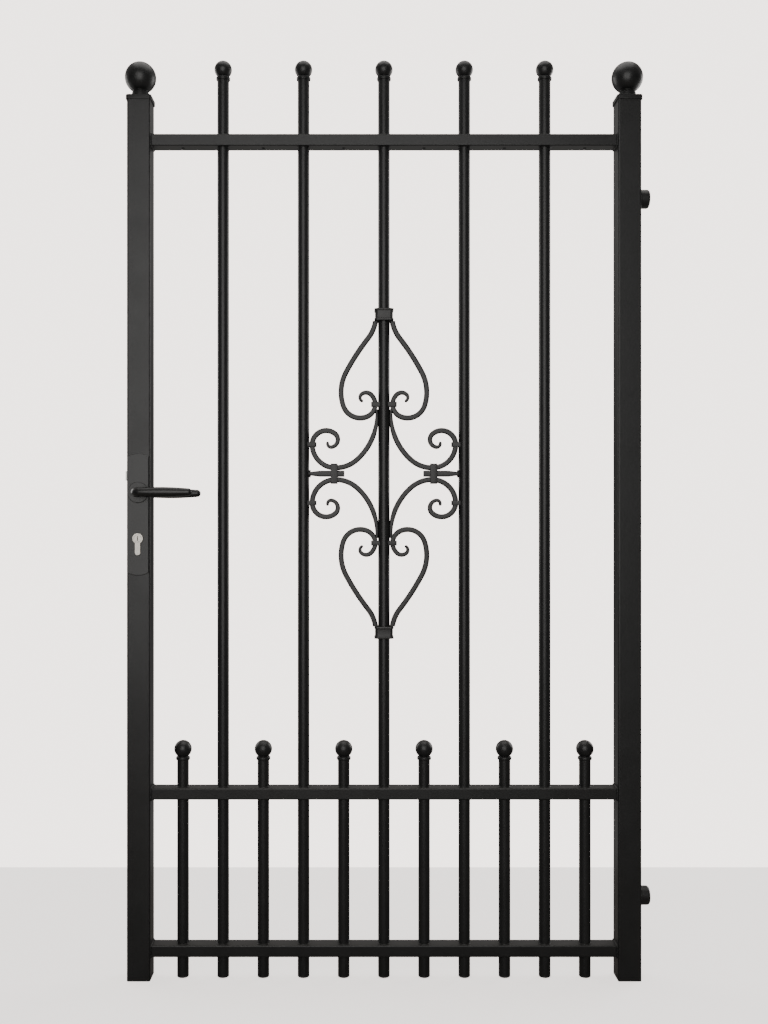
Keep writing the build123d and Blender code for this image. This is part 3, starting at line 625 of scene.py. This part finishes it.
# ---- ornament collars ---------------------------------------------------------------
# Forged square collars round the centre bar above and below the ornament. Both ends are
# raised into soft rims, the corners are bevelled, and they hold the hearts' ends.
collar_half = 0.0165
collar_bevel = 0.0040
collar_rim = 0.0030
collar_waist = 0.0012
collar_slope = 0.0007
collar_edge = 0.0008
hammer_depth = 0.00006
centre_x = middle_of("tall_bar_3")[0]
ornament_z = (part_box("top_collar")[0].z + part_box("bottom_collar")[1].z) / 2
# The second colour is the lighter edge colour: partly wear, partly a painted edge highlight.
forged_coat = coated("coated_forged_steel",
                     (0.0098, 0.0100, 0.0102, 1.0), (0.050, 0.050, 0.049, 1.0),
                     roughness=0.41, spread=0.18, peel=0.9, dust=0.12, coat=0.08,
                     dimple_scale=480.0)


def bevelled_ring(half, bevel, x, z, rounding=0.0007):
    """Level square with bevelled corners, the bevels' edges softened."""
    cut = half - bevel
    corners = [(half, cut), (cut, half), (-cut, half), (-half, cut),
               (-half, -cut), (-cut, -half), (cut, -half), (half, -cut)]
    outline = softened([(u, v, rounding) for u, v in corners], closed=True, steps=4)
    return [Vector((x + u, v, z)) for u, v in outline]


def round_ring(radius, like, x, z):
    """Circle with a point opposite each point of another ring."""
    out = []
    for point in like:
        flat = Vector((point.x - x, point.y)).normalized() * radius
        out.append(Vector((x + flat.x, flat.y, z)))
    return out


for name in ("top_collar", "bottom_collar"):
    low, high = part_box(name)
    tall = high.z - low.z
    side_view = softened([(0.0, 0.0, 0), (0.0, collar_rim, 0.0008),
                          (collar_waist, collar_rim + collar_slope, 0.0006),
                          (collar_waist, tall - collar_rim - collar_slope, 0.0006),
                          (0.0, tall - collar_rim, 0.0008), (0.0, tall, 0)], steps=4)
    edge = [(collar_edge, 0.0), (collar_edge / 4, collar_edge / 4), (0.0, collar_edge)]
    side_view = edge + side_view[1:-1] + [(inset, tall - z) for inset, z in reversed(edge)]
    rings = [bevelled_ring(collar_half - inset, collar_bevel, centre_x, low.z + z)
             for inset, z in side_view]
    inner = bar_radius + 0.0002
    rings.insert(0, round_ring(inner, rings[0], centre_x, low.z))
    rings.append(round_ring(inner, rings[-1], centre_x, high.z))
    builder = bmesh.new()
    skin(builder, rings, loop=True)
    for vertex in builder.verts:
        outward = Vector((vertex.co.x - centre_x, vertex.co.y, 0))
        if outward.length > inner + 0.002:
            sway = noise.noise(vertex.co * 160) * hammer_depth * 2
            vertex.co += outward.normalized() * min(0, sway - hammer_depth)
    piece = settled_mesh("forged_" + name, builder, forged_coat)
    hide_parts(name)


# ---- heart and side scrolls ---------------------------------------------------------
# Eight scrolls bent from flat bar over a former and drawn out to a rounded, tapered tip.
# Their faces keep faint hammer marks. The hearts hang from the collars along the centre
# bar, and the side scrolls run from the centre bar to the clamps and the outer bars.
scroll_half_depth = 0.0050
scroll_corner = 0.0021
scroll_width = 0.0092
drawn_width = 0.0066
tip_width = 0.0050
least_width = 0.0008
station_step = 0.0022
tip_stations = 8
tip_depth = 0.7
face_marks = 0.00009
edge_marks = 0.00006
heart_start = (-0.0146252, 0.2614068)
heart_heading = -99.0
heart_bends = [(0.06255, -29, scroll_width), (0.3979, 10, scroll_width),
               (0.0739, 46, scroll_width), (0.0308, 93, scroll_width), (0.0229, 118, 0.0082),
               (0.0119, 87, drawn_width), (0.0070, 100, tip_width)]
side_start = (-0.0125269, 0.1105516)
side_heading = -84.4
side_start_width = 0.0046
side_bends = [(0.102515, -25.6, scroll_width), (0.102515, -28, scroll_width),
              (0.055534, -42, scroll_width), (0.039984, -90, scroll_width),
              (0.0240, -130, scroll_width), (0.0130, -130, drawn_width),
              (0.0060, -110, tip_width)]


def bent_path(start, heading, width, bends):
    """(u, v, heading, width) along tangent arcs of (radius, turn, end width)."""
    u, v = start
    out = [(u, v, heading, width)]
    for radius, turn, end_width in bends:
        side = 1 if turn > 0 else -1
        middle = (u - side * radius * math.sin(math.radians(heading)),
                  v + side * radius * math.cos(math.radians(heading)))
        length = abs(math.radians(turn)) * radius
        count = max(4, round(length / station_step), round(abs(turn) / 5))
        for k in range(1, count + 1):
            now = heading + turn * k / count
            u = middle[0] + side * radius * math.sin(math.radians(now))
            v = middle[1] - side * radius * math.cos(math.radians(now))
            out.append((u, v, now, width + (end_width - width) * k / count))
        heading, width = heading + turn, end_width
    return out


def bar_section(half_width, half_depth, corner):
    """Flat bar's section with round corners, as (across, depth) points."""
    corner = min(corner, half_width * 0.8, half_depth * 0.8)
    return rounded_rectangle(half_width, half_depth, corner, steps=4)


def forged_scroll(name, node, shape, mirror_u, mirror_v):
    """Flat bar bent through a scroll's arcs, its end drawn thinner and rounded."""
    stations = bent_path(*shape)
    u, v, heading, width = stations[-1]
    for k in range(1, tip_stations + 1):
        share = math.sin(math.pi / 2 * k / tip_stations)
        reach = width / 2 * share
        half = width / 2 * math.sqrt(max(0.0, 1 - share ** 2))
        stations.append((u + reach * math.cos(math.radians(heading)),
                         v + reach * math.sin(math.radians(heading)),
                         heading, max(2 * half, least_width)))
    builder = bmesh.new()
    rings = []
    for k, (u, v, now, width) in enumerate(stations):
        point = Vector((mirror_u * u, 0, mirror_v * v))
        across = Vector((-mirror_u * math.sin(math.radians(now)), 0,
                         mirror_v * math.cos(math.radians(now))))
        marks = noise.noise(point * 95 + Vector((mirror_u, mirror_v, 0)))
        from_tip = (len(stations) - 1 - k) / (tip_stations + 1)
        drawn = min(1.0, from_tip * (1 - tip_depth) + tip_depth)
        depth = scroll_half_depth * drawn - face_marks * (1 + marks)
        half = width / 2 - edge_marks * (1 - marks) if width > 0.002 else width / 2
        origin = Vector((centre_x, 0, ornament_z)) + point
        rings.append([origin + across * a + Vector((0, b, 0))
                      for a, b in bar_section(half, depth, scroll_corner)])
    skin(builder, rings)
    piece = settled_mesh(name, builder, forged_coat, crease=50)
    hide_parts(node)


heart_shape = (heart_start, heart_heading, scroll_width, heart_bends)
side_shape = (side_start, side_heading, side_start_width, side_bends)
for v_name, mirror_v in (("upper", 1), ("lower", -1)):
    for u_name, mirror_u in (("left", 1), ("right", -1)):
        corner = f"{v_name}_{u_name}"
        forged_scroll("forged_heart_" + corner, "heart_scroll_" + corner,
                      heart_shape, mirror_u, mirror_v)
        forged_scroll("forged_side_scroll_" + corner, "side_scroll_" + corner,
                      side_shape, mirror_u, mirror_v)


# ---- stub bars, clamps and ties -----------------------------------------------------
# A short tapered bar with a round foot reaches from each outer tall bar to the side
# scrolls. Flat bands bent hot hold the pieces together: a closed clamp round stub and
# scrolls on each side, and C-shaped ties that are welded to the round bars.
stub_height = 0.0104
stub_tip = 0.0065
stub_taper = 0.0150
foot_radius = 0.0065
foot_thickness = 0.0020
foot_weld_radius = 0.0060
foot_weld_depth = 0.0035
stub_end = [(0.0012, 0.0), (0.0003, 0.0003), (0.0, 0.0011)]
stub_past_clamp = 0.0119
clamp_wall = 0.0016
clamp_width = 0.0118
clamp_rounding = 0.0014
tie_wall = 0.0018
tie_width = 0.0080
tie_rounding = 0.0016
tie_slack = 0.0008
tie_end_share = 0.66
tack_out_share = 0.80
tack_deep_share = 0.63
tack_bead = 0.0011
tack_puddle = 0.0022
band_rounding = 0.0005
scroll_clearance = 0.0003
bay = middle_of("tall_bar_4")[0] - centre_x
clamp_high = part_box("side_clamps")[1]
clamp_centre = clamp_high.x - centre_x - clamp_width / 2
stub_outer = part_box("stub_bars")[1].x - centre_x
stub_inner = clamp_high.x - centre_x - clamp_width - stub_past_clamp

for side_name, side in (("left", -1), ("right", 1)):
    builder = bmesh.new()
    root = stub_outer - foot_thickness
    outline = [(root, stub_tip / 2), (root - stub_taper / 2, (stub_tip + stub_height) / 4),
               (root - stub_taper, stub_height / 2)]
    outline += [(stub_inner + back, stub_height / 2 - inset) for back, inset in stub_end]
    rings = []
    for along, half in outline:
        rings.append([Vector((centre_x + side * along, b, ornament_z + a))
                      for a, b in bar_section(half, scroll_half_depth - 0.0001, scroll_corner)])
    skin(builder, rings)
    weld_end = foot_thickness + foot_weld_depth
    profile = softened([(0.0, -0.0002, 0), (0.0034, -0.0002, 0), (foot_radius, 0.0, 0.0006),
                        (foot_radius, foot_thickness, 0.0004),
                        (foot_weld_radius, foot_thickness + 0.0002, 0),
                        (foot_weld_radius - 0.0006, weld_end, 0), (0.0, weld_end, 0)])
    turned(builder, profile, Vector((centre_x + side * root, 0, ornament_z)),
           Vector((side, 0, 0)), 48)
    piece = settled_mesh("stub_bar_" + side_name, builder, forged_coat)
    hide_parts("stub_bars")


def band_section(width, wall):
    """Strip's section: wall aside of the path and width along it, edges rounded off."""
    return rounded_rectangle(wall / 2, width / 2, band_rounding, steps=3)


for side_name, side in (("left", -1), ("right", 1)):
    half_y = clamp_high.y - clamp_wall / 2
    half_z = clamp_high.z - ornament_z - clamp_wall / 2
    path = [Vector((centre_x + side * clamp_centre, u, ornament_z + v))
            for u, v in rounded_rectangle(half_y, half_z, clamp_rounding)]
    builder = bmesh.new()
    swept(builder, path, lambda i: band_section(clamp_width, clamp_wall), Vector((1, 0, 0)),
          loop=True)
    piece = settled_mesh("clamp_band_" + side_name, builder, forged_coat)
    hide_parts("side_clamps")


def tie_band(name, node, bar_x, scroll_x, level):
    """C-shaped band from the bar's front, round the scroll, to the bar's back."""
    low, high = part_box(node)
    z = ornament_z + level * ((high.z - low.z) / 2 - tie_width / 2)
    away = 1 if scroll_x > bar_x else -1
    deep = high.y - tie_wall / 2
    far = scroll_x + away * (scroll_width / 2 + tie_slack + tie_wall / 2)
    near = bar_x + away * bar_radius * tie_end_share
    corners = [(near, deep, 0), (far, deep, tie_rounding),
               (far, -deep, tie_rounding), (near, -deep, 0)]
    path = [Vector((u, v, z)) for u, v in softened(corners)]
    builder = bmesh.new()
    swept(builder, path, lambda i: band_section(tie_width, tie_wall), upward)
    for front in (1, -1):
        tack_x = bar_x + away * (bar_radius * tack_out_share)
        tack_y = front * (bar_radius * tack_deep_share)
        tack = [Vector((tack_x, tack_y, z + tie_width * (k / 12 - 0.5))) for k in range(13)]
        weld_bead(builder, tack, Vector((0, 1, 0)), tack_bead, tack_puddle,
                  seed=z + front, loop=False)
    piece = settled_mesh(name, builder, forged_coat, crease=60)
    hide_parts(node)


scroll_gap = bar_radius + scroll_clearance + scroll_width / 2
for v_name, level in (("upper", 1), ("lower", -1)):
    for u_name, side in (("left", -1), ("right", 1)):
        bar_x = centre_x + side * bay
        tie_band(f"centre_tie_{v_name}_{u_name}", "centre_bar_ties",
                 centre_x, centre_x + side * scroll_gap, level)
        tie_band(f"outer_tie_{v_name}_{u_name}", "outer_bar_ties",
                 bar_x, bar_x - side * scroll_gap, level)


# ---- mortise lock -------------------------------------------------------------------
# A zinc-plated narrow-stile lock case slides into the lock stile. Its stainless forend
# is brushed along its length and screwed to two tabs; the latch and the dead bolt pass
# through it, and follower, spindle and spring work inside the case.
def make_brushed_marks():
    """Fine parallel scratches; the stretch is long across the marks and short along them."""
    tree, taken, given = effect(
        "brushed_marks",
        [("Place", "Vector", None), ("Stretch", "Vector", (2400.0, 2400.0, 45.0))],
        ["Marks", "Smudge"],
    )
    pulled = add(tree, "ShaderNodeVectorMath", operation="MULTIPLY")
    tree.links.new(taken.outputs["Place"], pulled.inputs[0])
    tree.links.new(taken.outputs["Stretch"], pulled.inputs[1])
    marks = noise_at(tree, pulled.outputs["Vector"], 1.0, 3.0, 0.6)
    tree.links.new(marks, given.inputs["Marks"])
    smudge = noise_at(tree, taken.outputs["Place"], 60.0, 4.0, 0.6)
    tree.links.new(smudge, given.inputs["Smudge"])
    return tree


brushed_marks = make_brushed_marks()
mark_depth = 0.00004
edge_lift = 1.25
smudge_share = 0.5


def worked_metal(name, colour, darker, roughness, spread, stretch, bump_strength):
    """Bare or plated metal with directional marks, smudges, and edges made slightly brighter by
    the edge mask: partly wear, partly a painted highlight.
    """
    material = bpy.data.materials.new(name)
    material.use_nodes = True
    tree = material.node_tree
    shader = tree.nodes["Principled BSDF"]
    shader.inputs["Metallic"].default_value = 1.0
    place = tree.nodes.new("ShaderNodeTexCoord").outputs["Object"]
    marks = place_group(tree, brushed_marks, place, {"Stretch": stretch})
    edges = place_group(tree, edge_highlight_and_wear, place, {"Strength": 0.6, "Reach": 0.0006})
    base = mixed(tree, marks.outputs["Smudge"], colour, darker)
    bright = tuple(min(1.0, channel * edge_lift) for channel in colour[:3]) + (1.0,)
    # Edges lifted brighter: partly wear, partly a painted highlight.
    tree.links.new(mixed(tree, edges.outputs["Mask"], base, bright), shader.inputs["Base Color"])
    rough = math_node(tree, "MULTIPLY_ADD", marks.outputs["Marks"], spread)
    rough.node.inputs[2].default_value = roughness - spread / 2
    clouds = math_node(tree, "MULTIPLY", marks.outputs["Smudge"], spread * smudge_share)
    tree.links.new(math_node(tree, "ADD", rough, clouds), shader.inputs["Roughness"])
    bump = add(tree, "ShaderNodeBump", {"Strength": bump_strength, "Distance": mark_depth})
    tree.links.new(marks.outputs["Marks"], bump.inputs["Height"])
    tree.links.new(bump.outputs["Normal"], shader.inputs["Normal"])
    return material


zinc_plate = worked_metal("zinc_plated_steel",
                          (0.48, 0.49, 0.50, 1.0), (0.36, 0.37, 0.39, 1.0),
                          roughness=0.36, spread=0.18, stretch=(300.0, 300.0, 300.0),
                          bump_strength=0.25)
bright_steel = worked_metal("brushed_stainless",
                            (0.58, 0.57, 0.55, 1.0), (0.50, 0.49, 0.47, 1.0),
                            roughness=0.30, spread=0.16, stretch=(3000.0, 3000.0, 60.0),
                            bump_strength=0.4)
for node in ("lock_case", "lock_case_cover", "forend_tabs", "forend_screws", "follower",
             "spindle", "cylinder_screw", "escutcheon_screws", "lever_grub_screws"):
    finish_node(node, zinc_plate)
for node in ("forend", "latch_bolt", "dead_bolt"):
    finish_node(node, bright_steel)


# ---- latch spring -------------------------------------------------------------------
# An open coil of plated spring wire behind the latch bolt. It sits between the bolt and
# the back of the case and shortens as the bolt is drawn in.
spring_wire = 0.0009
spring_turns = 6
steps_a_turn = 28
coil_steps = spring_turns * steps_a_turn
spring_low, spring_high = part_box("latch_spring")
spring_length = spring_high.x - spring_low.x
spring_z = middle_of("latch_spring")[2]
coil_radius = (spring_high.z - spring_low.z - spring_wire) / 2
rings = []
for k in range(coil_steps + 1):
    angle = math.tau * k / steps_a_turn
    out_from_axis = Vector((0, math.cos(angle), math.sin(angle)))
    along = spring_low.x + spring_wire / 2 + (spring_length - spring_wire) * k / coil_steps
    middle = Vector((along, 0, spring_z)) + out_from_axis * coil_radius
    rings.append([middle + out_from_axis * a + Vector((b, 0, 0))
                  for a, b in circle(spring_wire / 2, 10)])
builder = bmesh.new()
skin(builder, rings)
spring = settled_mesh("latch_coil_spring", builder, zinc_plate)
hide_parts("latch_spring")
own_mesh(spring)


# ---- profile cylinder ---------------------------------------------------------------
# The euro profile cylinder passes through stile, case and plates below the levers. Its
# body and plugs are satin nickel, faintly ringed by the lathe, with a keyway in each
# face; one long screw through the forend holds it.
nickel = worked_metal("satin_nickel",
                      (0.62, 0.59, 0.54, 1.0), (0.50, 0.48, 0.44, 1.0),
                      roughness=0.32, spread=0.14, stretch=(900.0, 120.0, 900.0),
                      bump_strength=0.3)
for node in ("cylinder_housing", "cylinder_plugs", "cylinder_cam"):
    finish_node(node, nickel)


# ---- escutcheons and rosettes -------------------------------------------------------
# Long plates with arched ends cover the lock's cut-outs on both faces. They are coated a
# little smoother than the frame. The front plate's pegs take the rear plate's screws, and
# a turned rosette guides each lever's neck.
# The second colour is the lighter edge colour: partly wear, partly a painted edge highlight.
handle_coat = coated("smooth_black_fitting_coat",
                     (0.0066, 0.0068, 0.0071, 1.0), (0.042, 0.042, 0.041, 1.0),
                     roughness=0.34, spread=0.08, peel=0.28, dust=0.12, coat=0.15,
                     dimple_scale=900.0)
for node in ("front_escutcheon", "rear_escutcheon", "rosettes"):
    finish_node(node, handle_coat)


# ---- lever handles ------------------------------------------------------------------
# Cast levers on both sides: a round neck turns out of the rosette through a tight bend
# into a grip that swells like a slim barrel and closes in a rounded tip. A square socket
# takes the spindle, and a grub screw fixes each lever to it.
pivot_x = stile_x["lock"]
pivot_z = middle_of("spindle")[2]
neck_start = 0.0220
grip_plane = 0.0530
lever_neck = 0.0080
lever_bend = 0.0095
grip_length = 0.0960
grip_shoulder = 0.0895
grip_root, grip_belly, grip_tip = 0.0070, 0.0086, 0.0065
bend_end_radius = grip_root + 0.0004


def lever_stations():
    """(out along the grip, away from the leaf, radius) down the middle of a lever."""
    turn_at = grip_plane - lever_bend
    out = [(0.0, neck_start + (turn_at - neck_start) * k / 10, lever_neck) for k in range(10)]
    for k in range(15):
        angle = math.pi / 2 * k / 14
        radius = lever_neck + (bend_end_radius - lever_neck) * k / 14
        out.append((lever_bend * (1 - math.cos(angle)), turn_at + lever_bend * math.sin(angle),
                    radius))
    for k in range(1, 31):
        along = lever_bend + (grip_shoulder - lever_bend) * k / 30
        share = along / grip_shoulder
        if share < 0.5:
            radius = grip_root + (grip_belly - grip_root) * math.sin(math.pi * share)
        else:
            radius = grip_tip + (grip_belly - grip_tip) * math.sin(math.pi * share)
        out.append((along, grip_plane, radius))
    cap = grip_length - grip_shoulder
    for k in range(1, 13):
        share = math.sin(math.pi / 2 * k / 12)
        radius = grip_tip * math.sqrt(max(0.0, 1 - share ** 2))
        out.append((grip_shoulder + cap * share, grip_plane, radius))
    return out


stations = lever_stations()
for node, side in (("front_lever", -1), ("rear_lever", 1)):
    path = [Vector((pivot_x + along, side * away, pivot_z)) for along, away, _ in stations]
    builder = bmesh.new()
    swept(builder, path, lambda i: circle(stations[i][2], 40), upward, last_cap=False)
    piece = settled_mesh("cast_" + node, builder, handle_coat, body="levers")
    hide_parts(node)


# ---- studio -------------------------------------------------------------------------
# Not part of the gate: a plain pale floor under its feet, an even pale surround, four
# large soft lights and the camera square to the leaf. Floor and surround are seen paler
# than the light that they cast, so that the black finish stays dark.
floor_x = (-2.0, 2.0)
floor_y = (-2.0, 0.62)
floor_cells = 8
floor_paint = (0.93, 0.90, 0.88, 1.0)
floor_paint_dull = (0.90, 0.87, 0.85, 1.0)
floor_cast = (0.22, 0.205, 0.19, 1.0)
floor_glow = (1.0, 0.94, 0.90, 1.0)
floor_glow_strength = 1.5
surround_seen = (1.0, 0.925, 0.875, 1.0)
surround_strength = 3.5
surround_dim = (0.055, 0.053, 0.050, 1.0)
surround_bright = (0.32, 0.31, 0.30, 1.0)
softbox_colour = (1.0, 0.98, 0.96)
softboxes = {
    "key_softbox": ((-0.70, -2.4, 1.10), (leaf_x, 0, 0.75), (1.9, 2.1), 29),
    "overhead_softbox": ((leaf_x, 0.1, 3.0), (leaf_x, 0, 0), (2.4, 2.0), 24),
    "right_rear_softbox": ((2.0, 1.6, 1.3), (leaf_x, 0, 0.6), (1.7, 1.9), 30),
    "left_rear_softbox": ((-2.9, 1.6, 1.3), (leaf_x, 0, 0.6), (1.7, 1.9), 22),
}


def stepped(first, last, count):
    """Even steps from first to last, both ends included."""
    return [first + (last - first) * k / count for k in range(count + 1)]


floor_builder = bmesh.new()
grid = [[floor_builder.verts.new((leaf_x + x, y, feet_z)) for y in stepped(*floor_y, floor_cells)]
        for x in stepped(*floor_x, floor_cells)]
for row, next_row in zip(grid, grid[1:]):
    for j in range(floor_cells):
        floor_builder.faces.new((row[j], next_row[j], next_row[j + 1], row[j + 1]))
floor_mesh = bpy.data.meshes.new("pale_floor")
floor_builder.to_mesh(floor_mesh)
floor_builder.free()
pale = bpy.data.materials.new("pale_floor_paint")
pale.use_nodes = True
pale_tree = pale.node_tree
pale_shader = pale_tree.nodes["Principled BSDF"]
pale_shader.inputs["Roughness"].default_value = 0.9
pale_shader.inputs["Specular IOR Level"].default_value = 0.1
floor_place = pale_tree.nodes.new("ShaderNodeTexCoord").outputs["Object"]
floor_clouds = noise_at(pale_tree, floor_place, 3.0, 4.0)
floor_tint = mixed(pale_tree, floor_clouds, floor_paint, floor_paint_dull)
floor_seen = pale_tree.nodes.new("ShaderNodeLightPath").outputs["Is Camera Ray"]
pale_shader.inputs["Emission Color"].default_value = floor_glow
pale_tree.links.new(math_node(pale_tree, "MULTIPLY", floor_seen, floor_glow_strength),
                    pale_shader.inputs["Emission Strength"])
pale_tree.links.new(mixed(pale_tree, floor_seen, floor_cast, floor_tint),
                    pale_shader.inputs["Base Color"])
floor_mesh.materials.append(pale)
floor = bpy.data.objects.new("pale_floor", floor_mesh)
bpy.context.scene.collection.objects.link(floor)

world = bpy.data.worlds.new("pale_surround")
bpy.context.scene.world = world
world.use_nodes = True
sky = world.node_tree
sky.nodes.clear()
seen = add(sky, "ShaderNodeBackground", {"Color": surround_seen, "Strength": surround_strength})
cast = add(sky, "ShaderNodeBackground", {"Strength": 1.0})
ray = sky.nodes.new("ShaderNodeLightPath")
choose = sky.nodes.new("ShaderNodeMixShader")
out = sky.nodes.new("ShaderNodeOutputWorld")
direction = sky.nodes.new("ShaderNodeTexCoord")
split = sky.nodes.new("ShaderNodeSeparateXYZ")
sky.links.new(direction.outputs["Generated"], split.inputs[0])
steep = add(sky, "ShaderNodeMapRange", {"From Min": 0.06, "From Max": 0.30})
sky.links.new(math_node(sky, "ABSOLUTE", split.outputs["Z"], 0.0), steep.inputs["Value"])
behind = add(sky, "ShaderNodeMapRange", {"From Min": -1.3, "From Max": 0.6})
sky.links.new(split.outputs["Y"], behind.inputs["Value"])
bright_part = math_node(sky, "MULTIPLY", steep.outputs["Result"], behind.outputs["Result"])
sky.links.new(mixed(sky, bright_part, surround_dim, surround_bright), cast.inputs["Color"])
sky.links.new(ray.outputs["Is Camera Ray"], choose.inputs[0])
sky.links.new(cast.outputs[0], choose.inputs[1])
sky.links.new(seen.outputs[0], choose.inputs[2])
sky.links.new(choose.outputs[0], out.inputs["Surface"])

for name, (place, aim, size, power) in softboxes.items():
    light = bpy.data.lights.new(name, "AREA")
    light.shape = "RECTANGLE"
    light.size, light.size_y = size
    light.energy = power
    light.color = softbox_colour
    lamp = bpy.data.objects.new(name, light)
    bpy.context.scene.collection.objects.link(lamp)
    lamp.location = place
    lamp.rotation_euler = (Vector(aim) - Vector(place)).to_track_quat("-Z", "Y").to_euler()

camera_data = bpy.data.cameras.new("camera")
camera_data.lens = 40.32
camera_data.sensor_width = 36.0
camera_data.shift_x = 0.0234
camera_data.shift_y = 0.0059
camera_data.clip_start = 0.01
camera = bpy.data.objects.new("camera", camera_data)
camera.location = (-0.496, -1.970, 0.6476)
camera.rotation_euler = (math.pi / 2, 0, 0)
bpy.context.scene.collection.objects.link(camera)
bpy.context.scene.camera = camera
